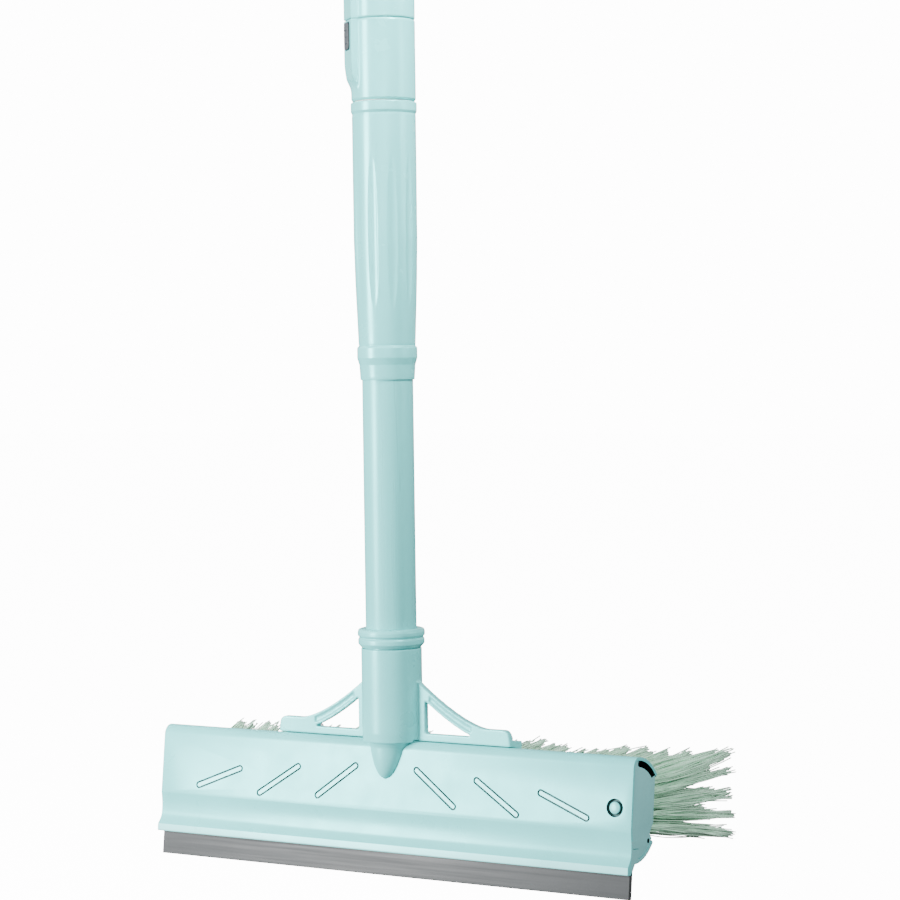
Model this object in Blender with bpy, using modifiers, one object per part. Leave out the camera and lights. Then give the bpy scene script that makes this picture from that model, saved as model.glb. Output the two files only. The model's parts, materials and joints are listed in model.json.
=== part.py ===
"""Window squeegee: a rubber blade in front, a bristle brush behind, on a twist-lock telescopic pole.

Metres, +Z up. The origin is the middle of the rubber blade's working edge. X runs along the head,
-Y is the blade's side, +Y is the brush's side, and Z runs up the pole. The head leans a few degrees,
so its pieces are drawn in a head frame: there, depth is measured back from the flat front face and
height up from the blade's working edge.
"""

import math

import bmesh
import bpy
from mathutils import Matrix

GAP = 0.0003
ROUND = 40

# The head
HEAD_LENGTH = 0.267
HEAD_PITCH = math.radians(7)
FACE_Y = -0.0041
SHELL_WALL = 0.0016
SHELL_TOP = 0.0653
FACE_TOP = 0.0601
FACE_BOTTOM = 0.031
ROLL_DEPTH = 0.0052
ROLL_RADIUS = 0.027
ROLL_END_ANGLE = 44
LIP_DEPTH = -0.0015
LIP_HEIGHT = 0.0126
COVE_SAG = 0.0022
COVE_DEEPEST = 0.68
CURL_DEPTH = 0.0045
CURL_HEIGHT = 0.0395
CURL_RADIUS = 0.0232
CURL_END_ANGLE = -36
END_WEB = 0.0007
BLADE_FRONT = 0.0026
BLADE_THICK = 0.003
BLADE_HEEL_DEPTH = 0.0072
BLADE_HEEL_HEIGHT = 0.019
BLADE_TOP = 0.0214
BLADE_LENGTH = 0.265
SLOT_ROOF = 0.0231
SLOT_ROOF_FRONT = 0.0032
THICK_WALL_TOP = (0.003, 0.027)
RIB_THICK = 0.0014
BLOCK_TOP = 0.0607
BLOCK_BACK = 0.023
BLOCK_STEP_HEIGHT = 0.0347
END_SLOT_FRONT = 0.0049
END_SLOT_ANGLE = 50
CURL_NOTCH = (0.0195, 0.0265)
CURL_NOTCH_RADIUS = 0.0012
BLOCK_STEP_FOOT = (0.0198, 0.0302)

# Embossed bars in the face, each with a narrow groove round it: middle from the centre line, height, slope;
# mirrored in pairs
BARS = ((0.028, 0.0437, 36.5), (0.062, 0.0418, 33.0), (0.098, 0.0408, 21.7))
BAR_LENGTH = 0.030
BAR_WIDTH = 0.0036
GROOVE_WIDTH = 0.0007
GROOVE_DEPTH = 0.0008

# The brush
ROWS = 5
ROW_PITCH = 0.0052
FIRST_ROW = 0.0324
FIRST_TIP_ROW = 0.030
TIP_PITCH = 0.0086
TUFT_ROOT_THICK = 0.0042
TUFT_TIP_THICK = 0.0074
BRISTLE_TIP = 0.089
ROOT_HALF = 0.128
TIP_HALF = 0.1445

# The spring peg that locks the brush in the shell
PEG_X = 0.1247
PEG_HEIGHT = 0.0416
PEG_RADIUS = 0.0029
PEG_HOLE_RADIUS = 0.0043
PEG_FLANGE = 0.0052
PEG_STEM = 0.0024
PEG_PROUD = 0.0005
PEG_FLANGE_BACK = -0.0032
PEG_END = -0.009
PEG_POCKET_RADIUS = 0.0056
PEG_POCKET_DEPTH = 0.014

# The bracket between head and pole
POLE_Y = 0.009
SOCKET_RADIUS = 0.0147
SOCKET_TOP = 0.1095
SOCKET_BORE = 0.0135
SOCKET_FLOOR = 0.080
NOSE_TIP = 0.0465
NOSE_PARABOLA = 0.015
NOSE_RADIUS = 0.0096
NOSE_TOP = 0.070
NOSE_FLARE_RADIUS = 0.0143
FOOT_HALF = 0.066
FOOT_FRONT = 0.0042
FOOT_BACK = 0.0155
FOOT_THICK = 0.003
GUSSET_HALF = 0.0655
GUSSET_Y = 0.0007
GUSSET_THICK = 0.0035
GUSSET_ROOT = 0.060
PAD_TOP = 0.0728
PAD_START = 0.053
PAD_CORNER = 0.0035
ARM_RISE = 0.018
ARM_INNER = 0.0186
ARM_ROOT = 0.012
ARM_WIDTH = 0.006
ARM_POWER = 1.5
WINDOW_INNER = 0.019
WINDOW_FLOOR = 0.0687
SCREW_XS = (-0.060, -0.048, 0.048, 0.060)
SCREW_DEPTH = 0.0124
SCREW_SHAFT = 0.0012
SCREW_HOLE = 0.0016
SCREW_LENGTH = 0.0065

# The pole: radii and heights along its axis
TUBE_OUTER = 0.01235
TUBE_INNER = 0.0115
TUBE_BOTTOM = 0.086
TUBE_TOP = 0.598
GLIDE_TOP = 0.622
SLEEVE_BOTTOM = 0.239
SLEEVE_TOP = 0.3722
SLEEVE_BORE = 0.01425
SLEEVE_CONE = (0.256, 0.300)
LIP_BORE = 0.0127
SLEEVE_RADIUS = 0.0154
TAPER_TOP = 0.306
TAPER_SLOPE = 0.034
COUPLING_RADIUS = 0.01555
COUPLING_BORE = 0.01435
COUPLING_BOTTOM = 0.3727
SEAM = 0.4115
HOUSING_TOP = 0.450
OUTER_TUBE_RADIUS = 0.014
OUTER_TUBE_BORE = 0.013
OUTER_TUBE_BOTTOM = 0.386
OUTER_TUBE_TOP = 0.742
COLLET_BORE = 0.01265
COLLET_BOTTOM = 0.276
FLUTES = 10
FLUTE_TURN = math.radians(27.3)
FLUTE_DEPTH = 0.0006
FLUTE_MIDDLE = 0.311
FLUTE_LENGTH = 0.108
GRIP_BOTTOM = 0.560
GRIP_TOP = 0.7415
GRIP_RADIUS = 0.0166
HANG_HOLE_HEIGHT = 0.766
HANG_HOLE_RADIUS = 0.0048
PADDLE_THICK = 0.008

# The lock button and the boss round it, on the pole's front left
BUTTON_ANGLE = math.radians(228)
BUTTON_HEIGHT = 0.4036
BUTTON_TALL = 0.0130
BUTTON_WIDE = 0.008
BOSS_RADIUS = 0.0176
BOSS_HALF_WIDE = 0.0068
BUTTON_FACE = 0.0186
FLANGE_INNER = 0.01555
FLANGE_THICK = 0.0008
POCKET_OUTER = 0.0164


def cleared_scene():
    for obj in list(bpy.data.objects):
        bpy.data.objects.remove(obj, do_unlink=True)


def new_collection(name):
    collection = bpy.data.collections.new(name)
    bpy.context.scene.collection.children.link(collection)
    return collection


def paint(name, colour, roughness, metallic=0.0):
    """A Principled material of one colour."""
    material = bpy.data.materials.new(name)
    material.use_nodes = True
    shader = material.node_tree.nodes["Principled BSDF"]
    shader.inputs["Base Color"].default_value = (*colour, 1.0)
    shader.inputs["Roughness"].default_value = roughness
    shader.inputs["Metallic"].default_value = metallic
    material.diffuse_color = (*colour, 1.0)
    return material


cleared_scene()
PARTS = new_collection("window_squeegee")
CUTTERS = new_collection("cutters")

AQUA_PLASTIC = ((0.58, 0.79, 0.78), 0.35)
AQUA_TUBE = ((0.56, 0.78, 0.77), 0.3)
GREY_RUBBER = ((0.26, 0.275, 0.295), 0.6)
GREY_PLASTIC = ((0.17, 0.21, 0.23), 0.5)
WHITE_NYLON = ((0.8, 0.8, 0.78), 0.5)
BRISTLE = ((0.55, 0.66, 0.58), 0.7)
STEEL = ((0.6, 0.6, 0.6), 0.35, 1.0)


def frame_empty(name, location, pitch):
    """An empty that a group of pieces is placed in."""
    empty = bpy.data.objects.new(name, None)
    empty.location = location
    empty.rotation_euler = (pitch, 0, 0)
    PARTS.objects.link(empty)
    return empty


HEAD = frame_empty("head_frame", (0, 0, 0), -HEAD_PITCH)
POLE = frame_empty("pole_frame", (0, POLE_Y, 0), 0)


def added(name, data, frame, place=None):
    """A new object in a frame, placed in it by a matrix."""
    obj = bpy.data.objects.new(name, data)
    PARTS.objects.link(obj)
    obj.parent = frame
    obj.matrix_basis = place or Matrix()
    return obj


def painted(obj, look):
    obj.data.materials.clear()
    obj.data.materials.append(paint(obj.name + "_paint", *look))
    return obj


def turned(name, profile, frame, place=None, loop=True, sides=ROUND):
    """A profile of (radius, height) points turned about Z. Its outer side runs from top to bottom, and
    a loop goes on up its inner side."""
    count = len(profile)
    edges = [(i, i + 1) for i in range(count - 1)]
    if loop:
        edges.append((count - 1, 0))
    mesh = bpy.data.meshes.new(name)
    mesh.from_pydata([(radius, 0, height) for radius, height in profile], edges, [])
    obj = added(name, mesh, frame, place)
    screw = obj.modifiers.new("Turn", "SCREW")
    screw.steps = screw.render_steps = sides
    screw.use_merge_vertices = True
    screw.merge_threshold = 0.00001
    screw.use_smooth_shade = True
    return obj


def meshed(curve_object, smooth_angle=35):
    """The mesh of a curve object, welded, in the curve's place."""
    name = curve_object.name
    graph = bpy.context.evaluated_depsgraph_get()
    mesh = bpy.data.meshes.new_from_object(curve_object.evaluated_get(graph))
    shape = bmesh.new()
    shape.from_mesh(mesh)
    bmesh.ops.remove_doubles(shape, verts=shape.verts, dist=0.000001)
    bmesh.ops.recalc_face_normals(shape, faces=shape.faces)
    shape.to_mesh(mesh)
    shape.free()
    mesh.shade_smooth()
    mesh.set_sharp_from_angle(angle=math.radians(smooth_angle))
    frame, place = curve_object.parent, curve_object.matrix_basis.copy()
    bpy.data.objects.remove(curve_object, do_unlink=True)
    return added(name, mesh, frame, place)


def plate(name, outlines, thickness, frame, place):
    """A flat outline, with any holes, made this thick about its plane."""
    curve = bpy.data.curves.new(name, "CURVE")
    curve.dimensions = "2D"
    curve.fill_mode = "BOTH"
    curve.extrude = thickness / 2
    for outline in outlines:
        spline = curve.splines.new("POLY")
        spline.points.add(len(outline) - 1)
        for point, (x, y) in zip(spline.points, outline):
            point.co = (x, y, 0, 1)
        spline.use_cyclic_u = True
    return meshed(added(name, curve, frame, place))


def wire(name, points, radius, frame, place=None):
    """A round wire through points, with closed ends."""
    curve = bpy.data.curves.new(name, "CURVE")
    curve.dimensions = "3D"
    curve.bevel_depth = radius
    curve.bevel_resolution = 2
    curve.use_fill_caps = True
    spline = curve.splines.new("POLY")
    spline.points.add(len(points) - 1)
    for point, place_of in zip(spline.points, points):
        point.co = (*place_of, 1)
    return added(name, curve, frame, place)


def block(name, low, high, frame, place=None, bevel=0.0):
    """A box between two corners, with its edges rounded."""
    shape = bmesh.new()
    bmesh.ops.create_cube(shape, size=1)
    size = [b - a for a, b in zip(low, high)]
    middle = [(a + b) / 2 for a, b in zip(low, high)]
    bmesh.ops.scale(shape, verts=shape.verts, vec=size)
    bmesh.ops.translate(shape, verts=shape.verts, vec=middle)
    mesh = bpy.data.meshes.new(name)
    shape.to_mesh(mesh)
    shape.free()
    obj = added(name, mesh, frame, place)
    if bevel:
        rounding = obj.modifiers.new("Round", "BEVEL")
        rounding.width = bevel
        rounding.segments = 3
    return obj


def rod(name, radius, low, high, frame, place=None, sides=24):
    """A solid cylinder along Z between two heights."""
    profile = [(0, high), (radius, high), (radius, low), (0, low)]
    return turned(name, profile, frame, place, loop=False, sides=sides)


def combined(target, other, operation):
    """Cuts, joins or trims the target with another object, which then leaves the parts."""
    change = target.modifiers.new(other.name, "BOOLEAN")
    change.operation = operation
    change.solver = "EXACT"
    change.object = other
    PARTS.objects.unlink(other)
    CUTTERS.objects.link(other)
    other.hide_render = True
    other.display_type = "WIRE"
    return target


def cut(target, other):
    return combined(target, other, "DIFFERENCE")


def join(target, other):
    return combined(target, other, "UNION")


def arc(centre, radius, start, end, steps):
    """Points on an arc, its angles in degrees from the first axis."""
    angles = [math.radians(start + (end - start) * i / steps) for i in range(steps + 1)]
    return [(centre[0] + radius * math.cos(a), centre[1] + radius * math.sin(a)) for a in angles]


def cove(start, end, sag, deepest, steps):
    """Points from start to end on a curve that stands off the straight line by sag, towards the first
    axis's positive side. It's furthest off at this share of the way."""
    points = []
    for i in range(steps + 1):
        t = i / steps
        turn = t / deepest if t < deepest else (1 - t) / (1 - deepest)
        bulge = sag * math.sin(turn * math.pi / 2)
        across = start[0] + (end[0] - start[0]) * t
        points.append((across + bulge, start[1] + (end[1] - start[1]) * t))
    return points


def rounded_rectangle(width, height, radius, steps=4):
    corners = ((1, 1, 0), (-1, 1, 90), (-1, -1, 180), (1, -1, 270))
    points = []
    for sx, sy, start in corners:
        centre = (sx * (width / 2 - radius), sy * (height / 2 - radius))
        points += arc(centre, radius, start, start + 90, steps)
    return points


def section_place(x=0.0):
    """Places a (depth, height) outline in the head frame, with its thickness along X."""
    columns = Matrix(((0, 0, 1), (1, 0, 0), (0, 1, 0))).to_4x4()
    return Matrix.Translation((x, FACE_Y, 0)) @ columns


def upright_place(y=0.0):
    """Places an (X, height) outline, with its thickness along Y."""
    return Matrix.Translation((0, y, 0)) @ Matrix.Rotation(math.radians(90), 4, "X")


def button_place():
    """Places the button's pieces: X points out of the pole, at the button's height."""
    return Matrix.Rotation(BUTTON_ANGLE, 4, "Z") @ Matrix.Translation((0, 0, BUTTON_HEIGHT))


def peg_place():
    """Places the peg's pieces: Z points out of the front face, from the face's plane."""
    return Matrix.Translation((PEG_X, FACE_Y, PEG_HEIGHT)) @ Matrix.Rotation(math.radians(90), 4, "X")


def at_depth(depth):
    return FACE_Y + depth


# Head: the extruded front shell

def shell_outline():
    """The shell's section: a roll over the top, the flat face, a cove down to the lip, the blade's slot
    and a curl under the block."""
    roll = (ROLL_DEPTH, SHELL_TOP - ROLL_RADIUS)
    corner = SHELL_TOP - FACE_TOP
    corner_centre = (corner, FACE_TOP)
    inner_corner = corner - SHELL_WALL
    curl = (CURL_DEPTH, CURL_HEIGHT)
    inner_curl = CURL_RADIUS - SHELL_WALL
    slot_front = BLADE_FRONT - GAP
    slot_back = BLADE_FRONT + BLADE_THICK + GAP
    heel_back = BLADE_HEEL_DEPTH + GAP
    heel_floor = BLADE_HEEL_HEIGHT - GAP
    slot_top = BLADE_TOP + GAP
    rib_back = heel_back + RIB_THICK
    curl_start = -math.degrees(math.acos((slot_back - CURL_DEPTH) / CURL_RADIUS))
    inner_start = -math.degrees(math.acos((rib_back - CURL_DEPTH) / inner_curl))
    points = arc(roll, ROLL_RADIUS, ROLL_END_ANGLE, 90, 9)
    points += arc(corner_centre, corner, 90, 180, 7)
    points += cove((0, FACE_BOTTOM), (LIP_DEPTH, LIP_HEIGHT), COVE_SAG, COVE_DEEPEST, 11)
    points += [(LIP_DEPTH + 0.0001, LIP_HEIGHT - 0.0006), (LIP_DEPTH + 0.0007, LIP_HEIGHT - 0.001)]
    points += [(slot_front, LIP_HEIGHT - 0.0011), (slot_front, slot_top), (heel_back, slot_top)]
    points += [(heel_back, heel_floor), (slot_back, heel_floor)]
    points += arc(curl, CURL_RADIUS, curl_start, CURL_END_ANGLE, 8)
    points += arc(curl, inner_curl, CURL_END_ANGLE, inner_start, 7)
    points += [(rib_back, SLOT_ROOF), (SLOT_ROOF_FRONT, SLOT_ROOF)]
    points += [THICK_WALL_TOP, (SHELL_WALL, FACE_BOTTOM)]
    points += arc(corner_centre, inner_corner, 180, 90, 5)
    points += arc(roll, ROLL_RADIUS - SHELL_WALL, 90, ROLL_END_ANGLE, 8)
    return points


def end_web_outline():
    """The thin web that closes the blade's slot at each end of the shell. Its lower edge runs from the lip
    to the curl."""
    cover = 0.0008
    front, back, top = BLADE_FRONT - cover, BLADE_HEEL_DEPTH + cover, BLADE_TOP + cover
    lip = LIP_HEIGHT - 0.0001
    points = [(front, lip), (front + 0.0014, lip), (0.0064, 0.0172), (back, BLADE_HEEL_HEIGHT)]
    return points + [(back, top), (front, top)]


def stadium(length, width, steps):
    """A bar's outline with round ends, about its middle."""
    half, radius = (length - width) / 2, width / 2
    return arc((half, 0), radius, -90, 90, steps) + arc((-half, 0), radius, 90, 270, steps)


def groove_cutter(name, x, height, slope):
    """The narrow groove round a bar: it leaves the bar standing level with the face."""
    inner_length, inner_width = BAR_LENGTH - 2 * GROOVE_WIDTH, BAR_WIDTH - 2 * GROOVE_WIDTH
    outlines = [stadium(BAR_LENGTH, BAR_WIDTH, 8), stadium(inner_length, inner_width, 8)]
    place = Matrix.Translation((x, FACE_Y, height)) @ Matrix.Rotation(math.radians(slope), 4, "Y")
    return plate(name, outlines, 2 * GROOVE_DEPTH, HEAD, place @ upright_place())


def nose_profile(grow=0.0):
    """The nose's radius against its height: a parabola from its tip, then a flare out to the socket."""
    steps = 7
    upward = [(0, -grow)]
    for i in range(steps + 1):
        t = i / steps
        upward.append((NOSE_RADIUS * math.sqrt(t) + grow, NOSE_PARABOLA * t))
    flare_top = NOSE_TOP - NOSE_TIP
    widening = NOSE_FLARE_RADIUS - NOSE_RADIUS
    for i in range(1, 6):
        t = i / 5
        height = NOSE_PARABOLA + (flare_top - NOSE_PARABOLA) * t
        upward.append((NOSE_RADIUS + widening * math.sin(t * math.pi / 2) + grow, height))
    upward.append((0, flare_top))
    return list(reversed(upward))


def pole_axis_at(height):
    """Y in the head frame of the pole's axis, at this height above the working edge."""
    return (POLE_Y - height * math.sin(HEAD_PITCH)) / math.cos(HEAD_PITCH)


def nose(name, grow=0.0):
    """The pointed nose below the socket: turned, then leaned so that its tip meets the flat face."""
    obj = turned(name, nose_profile(grow), HEAD, Matrix.Translation((0, 0, NOSE_TIP)), loop=False)
    graph = bpy.context.evaluated_depsgraph_get()
    mesh = bpy.data.meshes.new_from_object(obj.evaluated_get(graph))
    obj.modifiers.clear()
    obj.data = mesh
    top = NOSE_TOP - NOSE_TIP
    lean = (pole_axis_at(NOSE_TOP) - FACE_Y) / top
    for vertex in mesh.vertices:
        vertex.co.y += FACE_Y + lean * vertex.co.z
    return obj


def make_front_shell():
    shell = plate("front_shell", [shell_outline()], HEAD_LENGTH, HEAD, section_place())
    for side in (-1, 1):
        web_x = side * (HEAD_LENGTH - END_WEB) / 2
        join(shell, plate(f"end_web_{side}", [end_web_outline()], END_WEB, HEAD, section_place(web_x)))
        for number, (x, height, slope) in enumerate(BARS, 1):
            cut(shell, groove_cutter(f"groove_{number}_{side}", side * x, height, side * slope))
    notch_back = ((-0.03, at_depth(SHELL_WALL + GAP), 0.03), (0.03, 0.05, 0.08))
    cut(shell, cut(nose("notch", grow=GAP), block("notch_back", *notch_back, HEAD)))
    cut(shell, rod("peg_hole", PEG_HOLE_RADIUS, -0.004, 0.004, HEAD, peg_place()))
    for number, x in enumerate(SCREW_XS, 1):
        place = Matrix.Translation((x, at_depth(SCREW_DEPTH), SHELL_TOP))
        cut(shell, rod(f"shell_hole_{number}", SCREW_HOLE, -0.005, 0.003, HEAD, place, sides=16))
    return painted(shell, AQUA_PLASTIC)


# Head: the brush block, the blade and the bristles

def block_outline():
    """The block's section. It fills the shell but for a slot that follows the roll's inner side, and a
    step at the bottom leads into the shell's curl."""
    front = SHELL_WALL + GAP
    inner_curl = CURL_RADIUS - SHELL_WALL - GAP
    curl = (CURL_DEPTH, CURL_HEIGHT)
    rib_back = BLADE_HEEL_DEPTH + GAP + RIB_THICK + GAP
    floor_start = -math.degrees(math.acos((rib_back - CURL_DEPTH) / inner_curl))
    under_shell = SHELL_TOP - SHELL_WALL - GAP
    roll = (ROLL_DEPTH, SHELL_TOP - ROLL_RADIUS)
    roll_clear = ROLL_RADIUS - SHELL_WALL - GAP
    slot_floor = BLOCK_TOP - roll[1]
    slot_round = (under_shell - BLOCK_TOP) / 2
    back_angle = math.degrees(math.acos((BLOCK_BACK - ROLL_DEPTH) / roll_clear))
    corner = SHELL_TOP - FACE_TOP
    points = arc((corner, FACE_TOP), corner - front, 180, 90, 5)
    points += arc((END_SLOT_FRONT + slot_round, BLOCK_TOP + slot_round), slot_round, 90, 270, 6)
    points += arc(roll, slot_floor, 86, END_SLOT_ANGLE, 6)
    points += arc(roll, roll_clear, END_SLOT_ANGLE - 3, back_angle, 2)
    notch_top = CURL_NOTCH[1] + CURL_NOTCH_RADIUS
    points += [(BLOCK_BACK, BLOCK_STEP_HEIGHT), BLOCK_STEP_FOOT, (0.0202, notch_top)]
    points += arc(CURL_NOTCH, CURL_NOTCH_RADIUS, 90, 270, 6)
    points += arc(curl, inner_curl, -42, floor_start, 7)
    points += [(rib_back, SLOT_ROOF + GAP), (SLOT_ROOF_FRONT + GAP, SLOT_ROOF + GAP)]
    wall_back, wall_top = THICK_WALL_TOP
    return points + [(wall_back + 0.0004, wall_top + 0.0005), (front, FACE_BOTTOM)]


def make_brush_block():
    body = plate("brush_block", [block_outline()], HEAD_LENGTH - 2 * GAP, HEAD, section_place())
    cut(body, rod("peg_pocket", PEG_POCKET_RADIUS, -PEG_POCKET_DEPTH, 0.004, HEAD, peg_place()))
    for number, x in enumerate(SCREW_XS, 1):
        place = Matrix.Translation((x, at_depth(SCREW_DEPTH), BLOCK_TOP))
        deep = -SCREW_LENGTH - 0.001
        cut(body, rod(f"pilot_{number}", SCREW_SHAFT + GAP, deep, 0.003, HEAD, place, sides=16))
    return painted(body, AQUA_PLASTIC)


def make_rubber_blade():
    back = BLADE_FRONT + BLADE_THICK
    outline = [(BLADE_FRONT, 0), (back, 0), (back, BLADE_HEEL_HEIGHT)]
    outline += [(BLADE_HEEL_DEPTH, BLADE_HEEL_HEIGHT), (BLADE_HEEL_DEPTH, BLADE_TOP)]
    outline.append((BLADE_FRONT, BLADE_TOP))
    blade = plate("rubber_blade", [outline], BLADE_LENGTH, HEAD, section_place())
    return painted(blade, GREY_RUBBER)


def make_bristle_row(number):
    """One row of bristles as a flat slab that widens from its roots to its tips."""
    root_height = FIRST_ROW + (number - 1) * ROW_PITCH
    tip_height = FIRST_TIP_ROW + (number - 1) * TIP_PITCH
    shape = bmesh.new()
    bmesh.ops.create_cube(shape, size=1)
    for vertex in shape.verts:
        at_tip = vertex.co.y > 0
        half = TIP_HALF if at_tip else ROOT_HALF
        thick = TUFT_TIP_THICK if at_tip else TUFT_ROOT_THICK
        height = tip_height if at_tip else root_height
        depth = BRISTLE_TIP if at_tip else BLOCK_BACK + GAP
        vertex.co = (2 * half * vertex.co.x, at_depth(depth), height + thick * vertex.co.z)
    mesh = bpy.data.meshes.new(f"bristle_row_{number}")
    shape.to_mesh(mesh)
    shape.free()
    return painted(added(mesh.name, mesh, HEAD), BRISTLE)


def make_snap_peg():
    """The peg: its head in the shell's hole, a flange behind the shell and a stem in the spring."""
    head, flange, stem = PEG_RADIUS, PEG_FLANGE, PEG_STEM
    shoulder = -(SHELL_WALL + GAP)
    profile = [(0, PEG_PROUD), (head - 0.0006, PEG_PROUD), (head, 0), (head, shoulder), (flange, shoulder)]
    profile += [(flange, PEG_FLANGE_BACK), (stem, PEG_FLANGE_BACK), (stem, PEG_END), (0, PEG_END)]
    peg = turned("snap_peg", profile, HEAD, peg_place(), loop=False, sides=28)
    return painted(peg, AQUA_PLASTIC)


def make_peg_spring():
    turns, per_turn, radius = 4, 12, 0.0037
    start, end = -0.0039, -(PEG_POCKET_DEPTH - 0.0007)
    points = []
    for i in range(turns * per_turn + 1):
        angle = 2 * math.pi * i / per_turn
        height = start + (end - start) * i / (turns * per_turn)
        points.append((radius * math.cos(angle), radius * math.sin(angle), height))
    return painted(wire("peg_spring", points, 0.00035, HEAD, peg_place()), STEEL)


# The bracket: socket, pointed nose, gusset plate and foot

def arm_top(x):
    """Height of the gusset's upper edge, this far from the pole's axis: it sweeps down to a flat pad."""
    t = max(PAD_START - x, 0) / (PAD_START - ARM_INNER)
    return PAD_TOP + ARM_RISE * t**ARM_POWER


def gusset_outline():
    right = [(GUSSET_HALF, GUSSET_ROOT)]
    right += arc((GUSSET_HALF - PAD_CORNER, PAD_TOP - PAD_CORNER), PAD_CORNER, 0, 90, 5)
    steps = 10
    for i in range(steps + 1):
        x = PAD_START + (ARM_ROOT - PAD_START) * i / steps
        right.append((x, arm_top(x)))
    left = [(-x, z) for x, z in reversed(right)]
    return right + left


def window_outline(side):
    """The three-cornered window on one side, as high under the arm as the arm is wide."""
    rise = (WINDOW_FLOOR + ARM_WIDTH - PAD_TOP) / ARM_RISE
    outer = PAD_START - (PAD_START - ARM_INNER) * rise ** (1 / ARM_POWER)
    steps = 6
    points = [(side * WINDOW_INNER, WINDOW_FLOOR)]
    for i in range(steps + 1):
        x = WINDOW_INNER + (outer - WINDOW_INNER) * i / steps
        points.append((side * x, arm_top(x) - ARM_WIDTH))
    return points


def head_room_outline():
    """The shell's upper side with its clearance, which the bracket's foot is shaped to."""
    low, back = 0.03, 0.03
    top = SHELL_TOP + GAP
    points = [(back, low), (SHELL_WALL, low), (SHELL_WALL, top)]
    points += arc((ROLL_DEPTH, SHELL_TOP - ROLL_RADIUS), ROLL_RADIUS + GAP, 90, 50, 10)
    return points + [(back, 0.05)]


def make_handle_bracket():
    body = nose("handle_bracket")
    rim, low = SOCKET_RADIUS, NOSE_TOP - 0.0055
    socket = [(0, SOCKET_TOP), (rim - 0.0006, SOCKET_TOP), (rim, SOCKET_TOP - 0.0006)]
    socket += [(rim, NOSE_TOP - 0.001), (NOSE_FLARE_RADIUS, low), (0, low)]
    gusset = [gusset_outline(), window_outline(1), window_outline(-1)]
    join(body, turned("socket", socket, POLE, loop=False))
    join(body, plate("gusset", gusset, GUSSET_THICK, POLE, upright_place(GUSSET_Y)))
    foot_low = (-FOOT_HALF, at_depth(FOOT_FRONT), SHELL_TOP - 0.002)
    foot_high = (FOOT_HALF, at_depth(FOOT_BACK), SHELL_TOP + GAP + FOOT_THICK)
    join(body, block("foot", foot_low, foot_high, HEAD))
    cut(body, plate("head_room", [head_room_outline()], 0.16, HEAD, section_place()))
    cut(body, rod("socket_bore", SOCKET_BORE, SOCKET_FLOOR, SOCKET_TOP + 0.01, POLE, sides=ROUND))
    for number, x in enumerate(SCREW_XS, 1):
        place = Matrix.Translation((x, at_depth(SCREW_DEPTH), SHELL_TOP))
        cut(body, rod(f"foot_hole_{number}", SCREW_HOLE, -0.003, 0.006, HEAD, place, sides=16))
    return painted(body, AQUA_PLASTIC)


def make_foot_screw(number, x):
    """A pan-head screw down through the foot and the shell into the block."""
    seat = SHELL_TOP + GAP + FOOT_THICK + GAP
    bottom = BLOCK_TOP - SCREW_LENGTH
    profile = [(0, seat + 0.0017), (0.0014, seat + 0.0016), (0.0021, seat + 0.0011), (0.0024, seat)]
    profile += [(SCREW_SHAFT, seat), (SCREW_SHAFT, bottom + 0.0015), (0, bottom)]
    place = Matrix.Translation((x, at_depth(SCREW_DEPTH), 0))
    screw = turned(f"foot_screw_{number}", profile, HEAD, place, loop=False, sides=16)
    return painted(screw, STEEL)


# The pole's lower, sliding section

def make_ferrule():
    """Two beads above the socket and a spigot that fills the socket round the tube."""
    top, bottom, foot = 0.1190, SOCKET_TOP + 0.0005, 0.0840
    bead, low_bead, neck = 0.0163, 0.0161, 0.0155
    spigot, bore = SOCKET_BORE - GAP, TUBE_OUTER + 0.00025
    profile = [(0.0149, top), (0.0159, 0.1184), (bead, 0.1173), (bead, 0.1159), (neck, 0.1147)]
    profile += [(low_bead, 0.1137), (low_bead, 0.1119), (neck, 0.1105), (0.0148, bottom)]
    profile += [(spigot, bottom), (spigot, foot + 0.001), (spigot - 0.0003, foot)]
    profile += [(bore, foot), (bore, top)]
    return painted(turned("pole_ferrule", profile, POLE), AQUA_PLASTIC)


def make_inner_tube():
    outer, bore = TUBE_OUTER, TUBE_INNER
    profile = [(outer, TUBE_TOP), (outer, TUBE_BOTTOM), (bore, TUBE_BOTTOM), (bore, TUBE_TOP)]
    return painted(turned("inner_tube", profile, POLE), AQUA_TUBE)


def make_top_glide():
    """The bush on the inner tube's top that centres it in the outer tube."""
    rim, spigot, bore = OUTER_TUBE_BORE - 0.00025, TUBE_INNER - GAP, 0.0095
    seat = TUBE_TOP + GAP
    plug_bottom = seat - 0.014
    profile = [(rim - 0.0005, GLIDE_TOP), (rim, GLIDE_TOP - 0.0008), (rim, seat + 0.0006)]
    profile += [(rim - 0.0004, seat), (spigot, seat), (spigot, plug_bottom)]
    profile += [(bore, plug_bottom), (bore, GLIDE_TOP)]
    return painted(turned("top_glide", profile, POLE), WHITE_NYLON)


# The pole's upper section: twist lock, coupling, grip and end cap

def sleeve_bore(height):
    """The sleeve's bore: close on the tube at its lip, a cone that closes the collet, then parallel."""
    low, high = SLEEVE_CONE
    t = min(max((height - low) / (high - low), 0), 1)
    return LIP_BORE + (SLEEVE_BORE - LIP_BORE) * t


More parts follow.
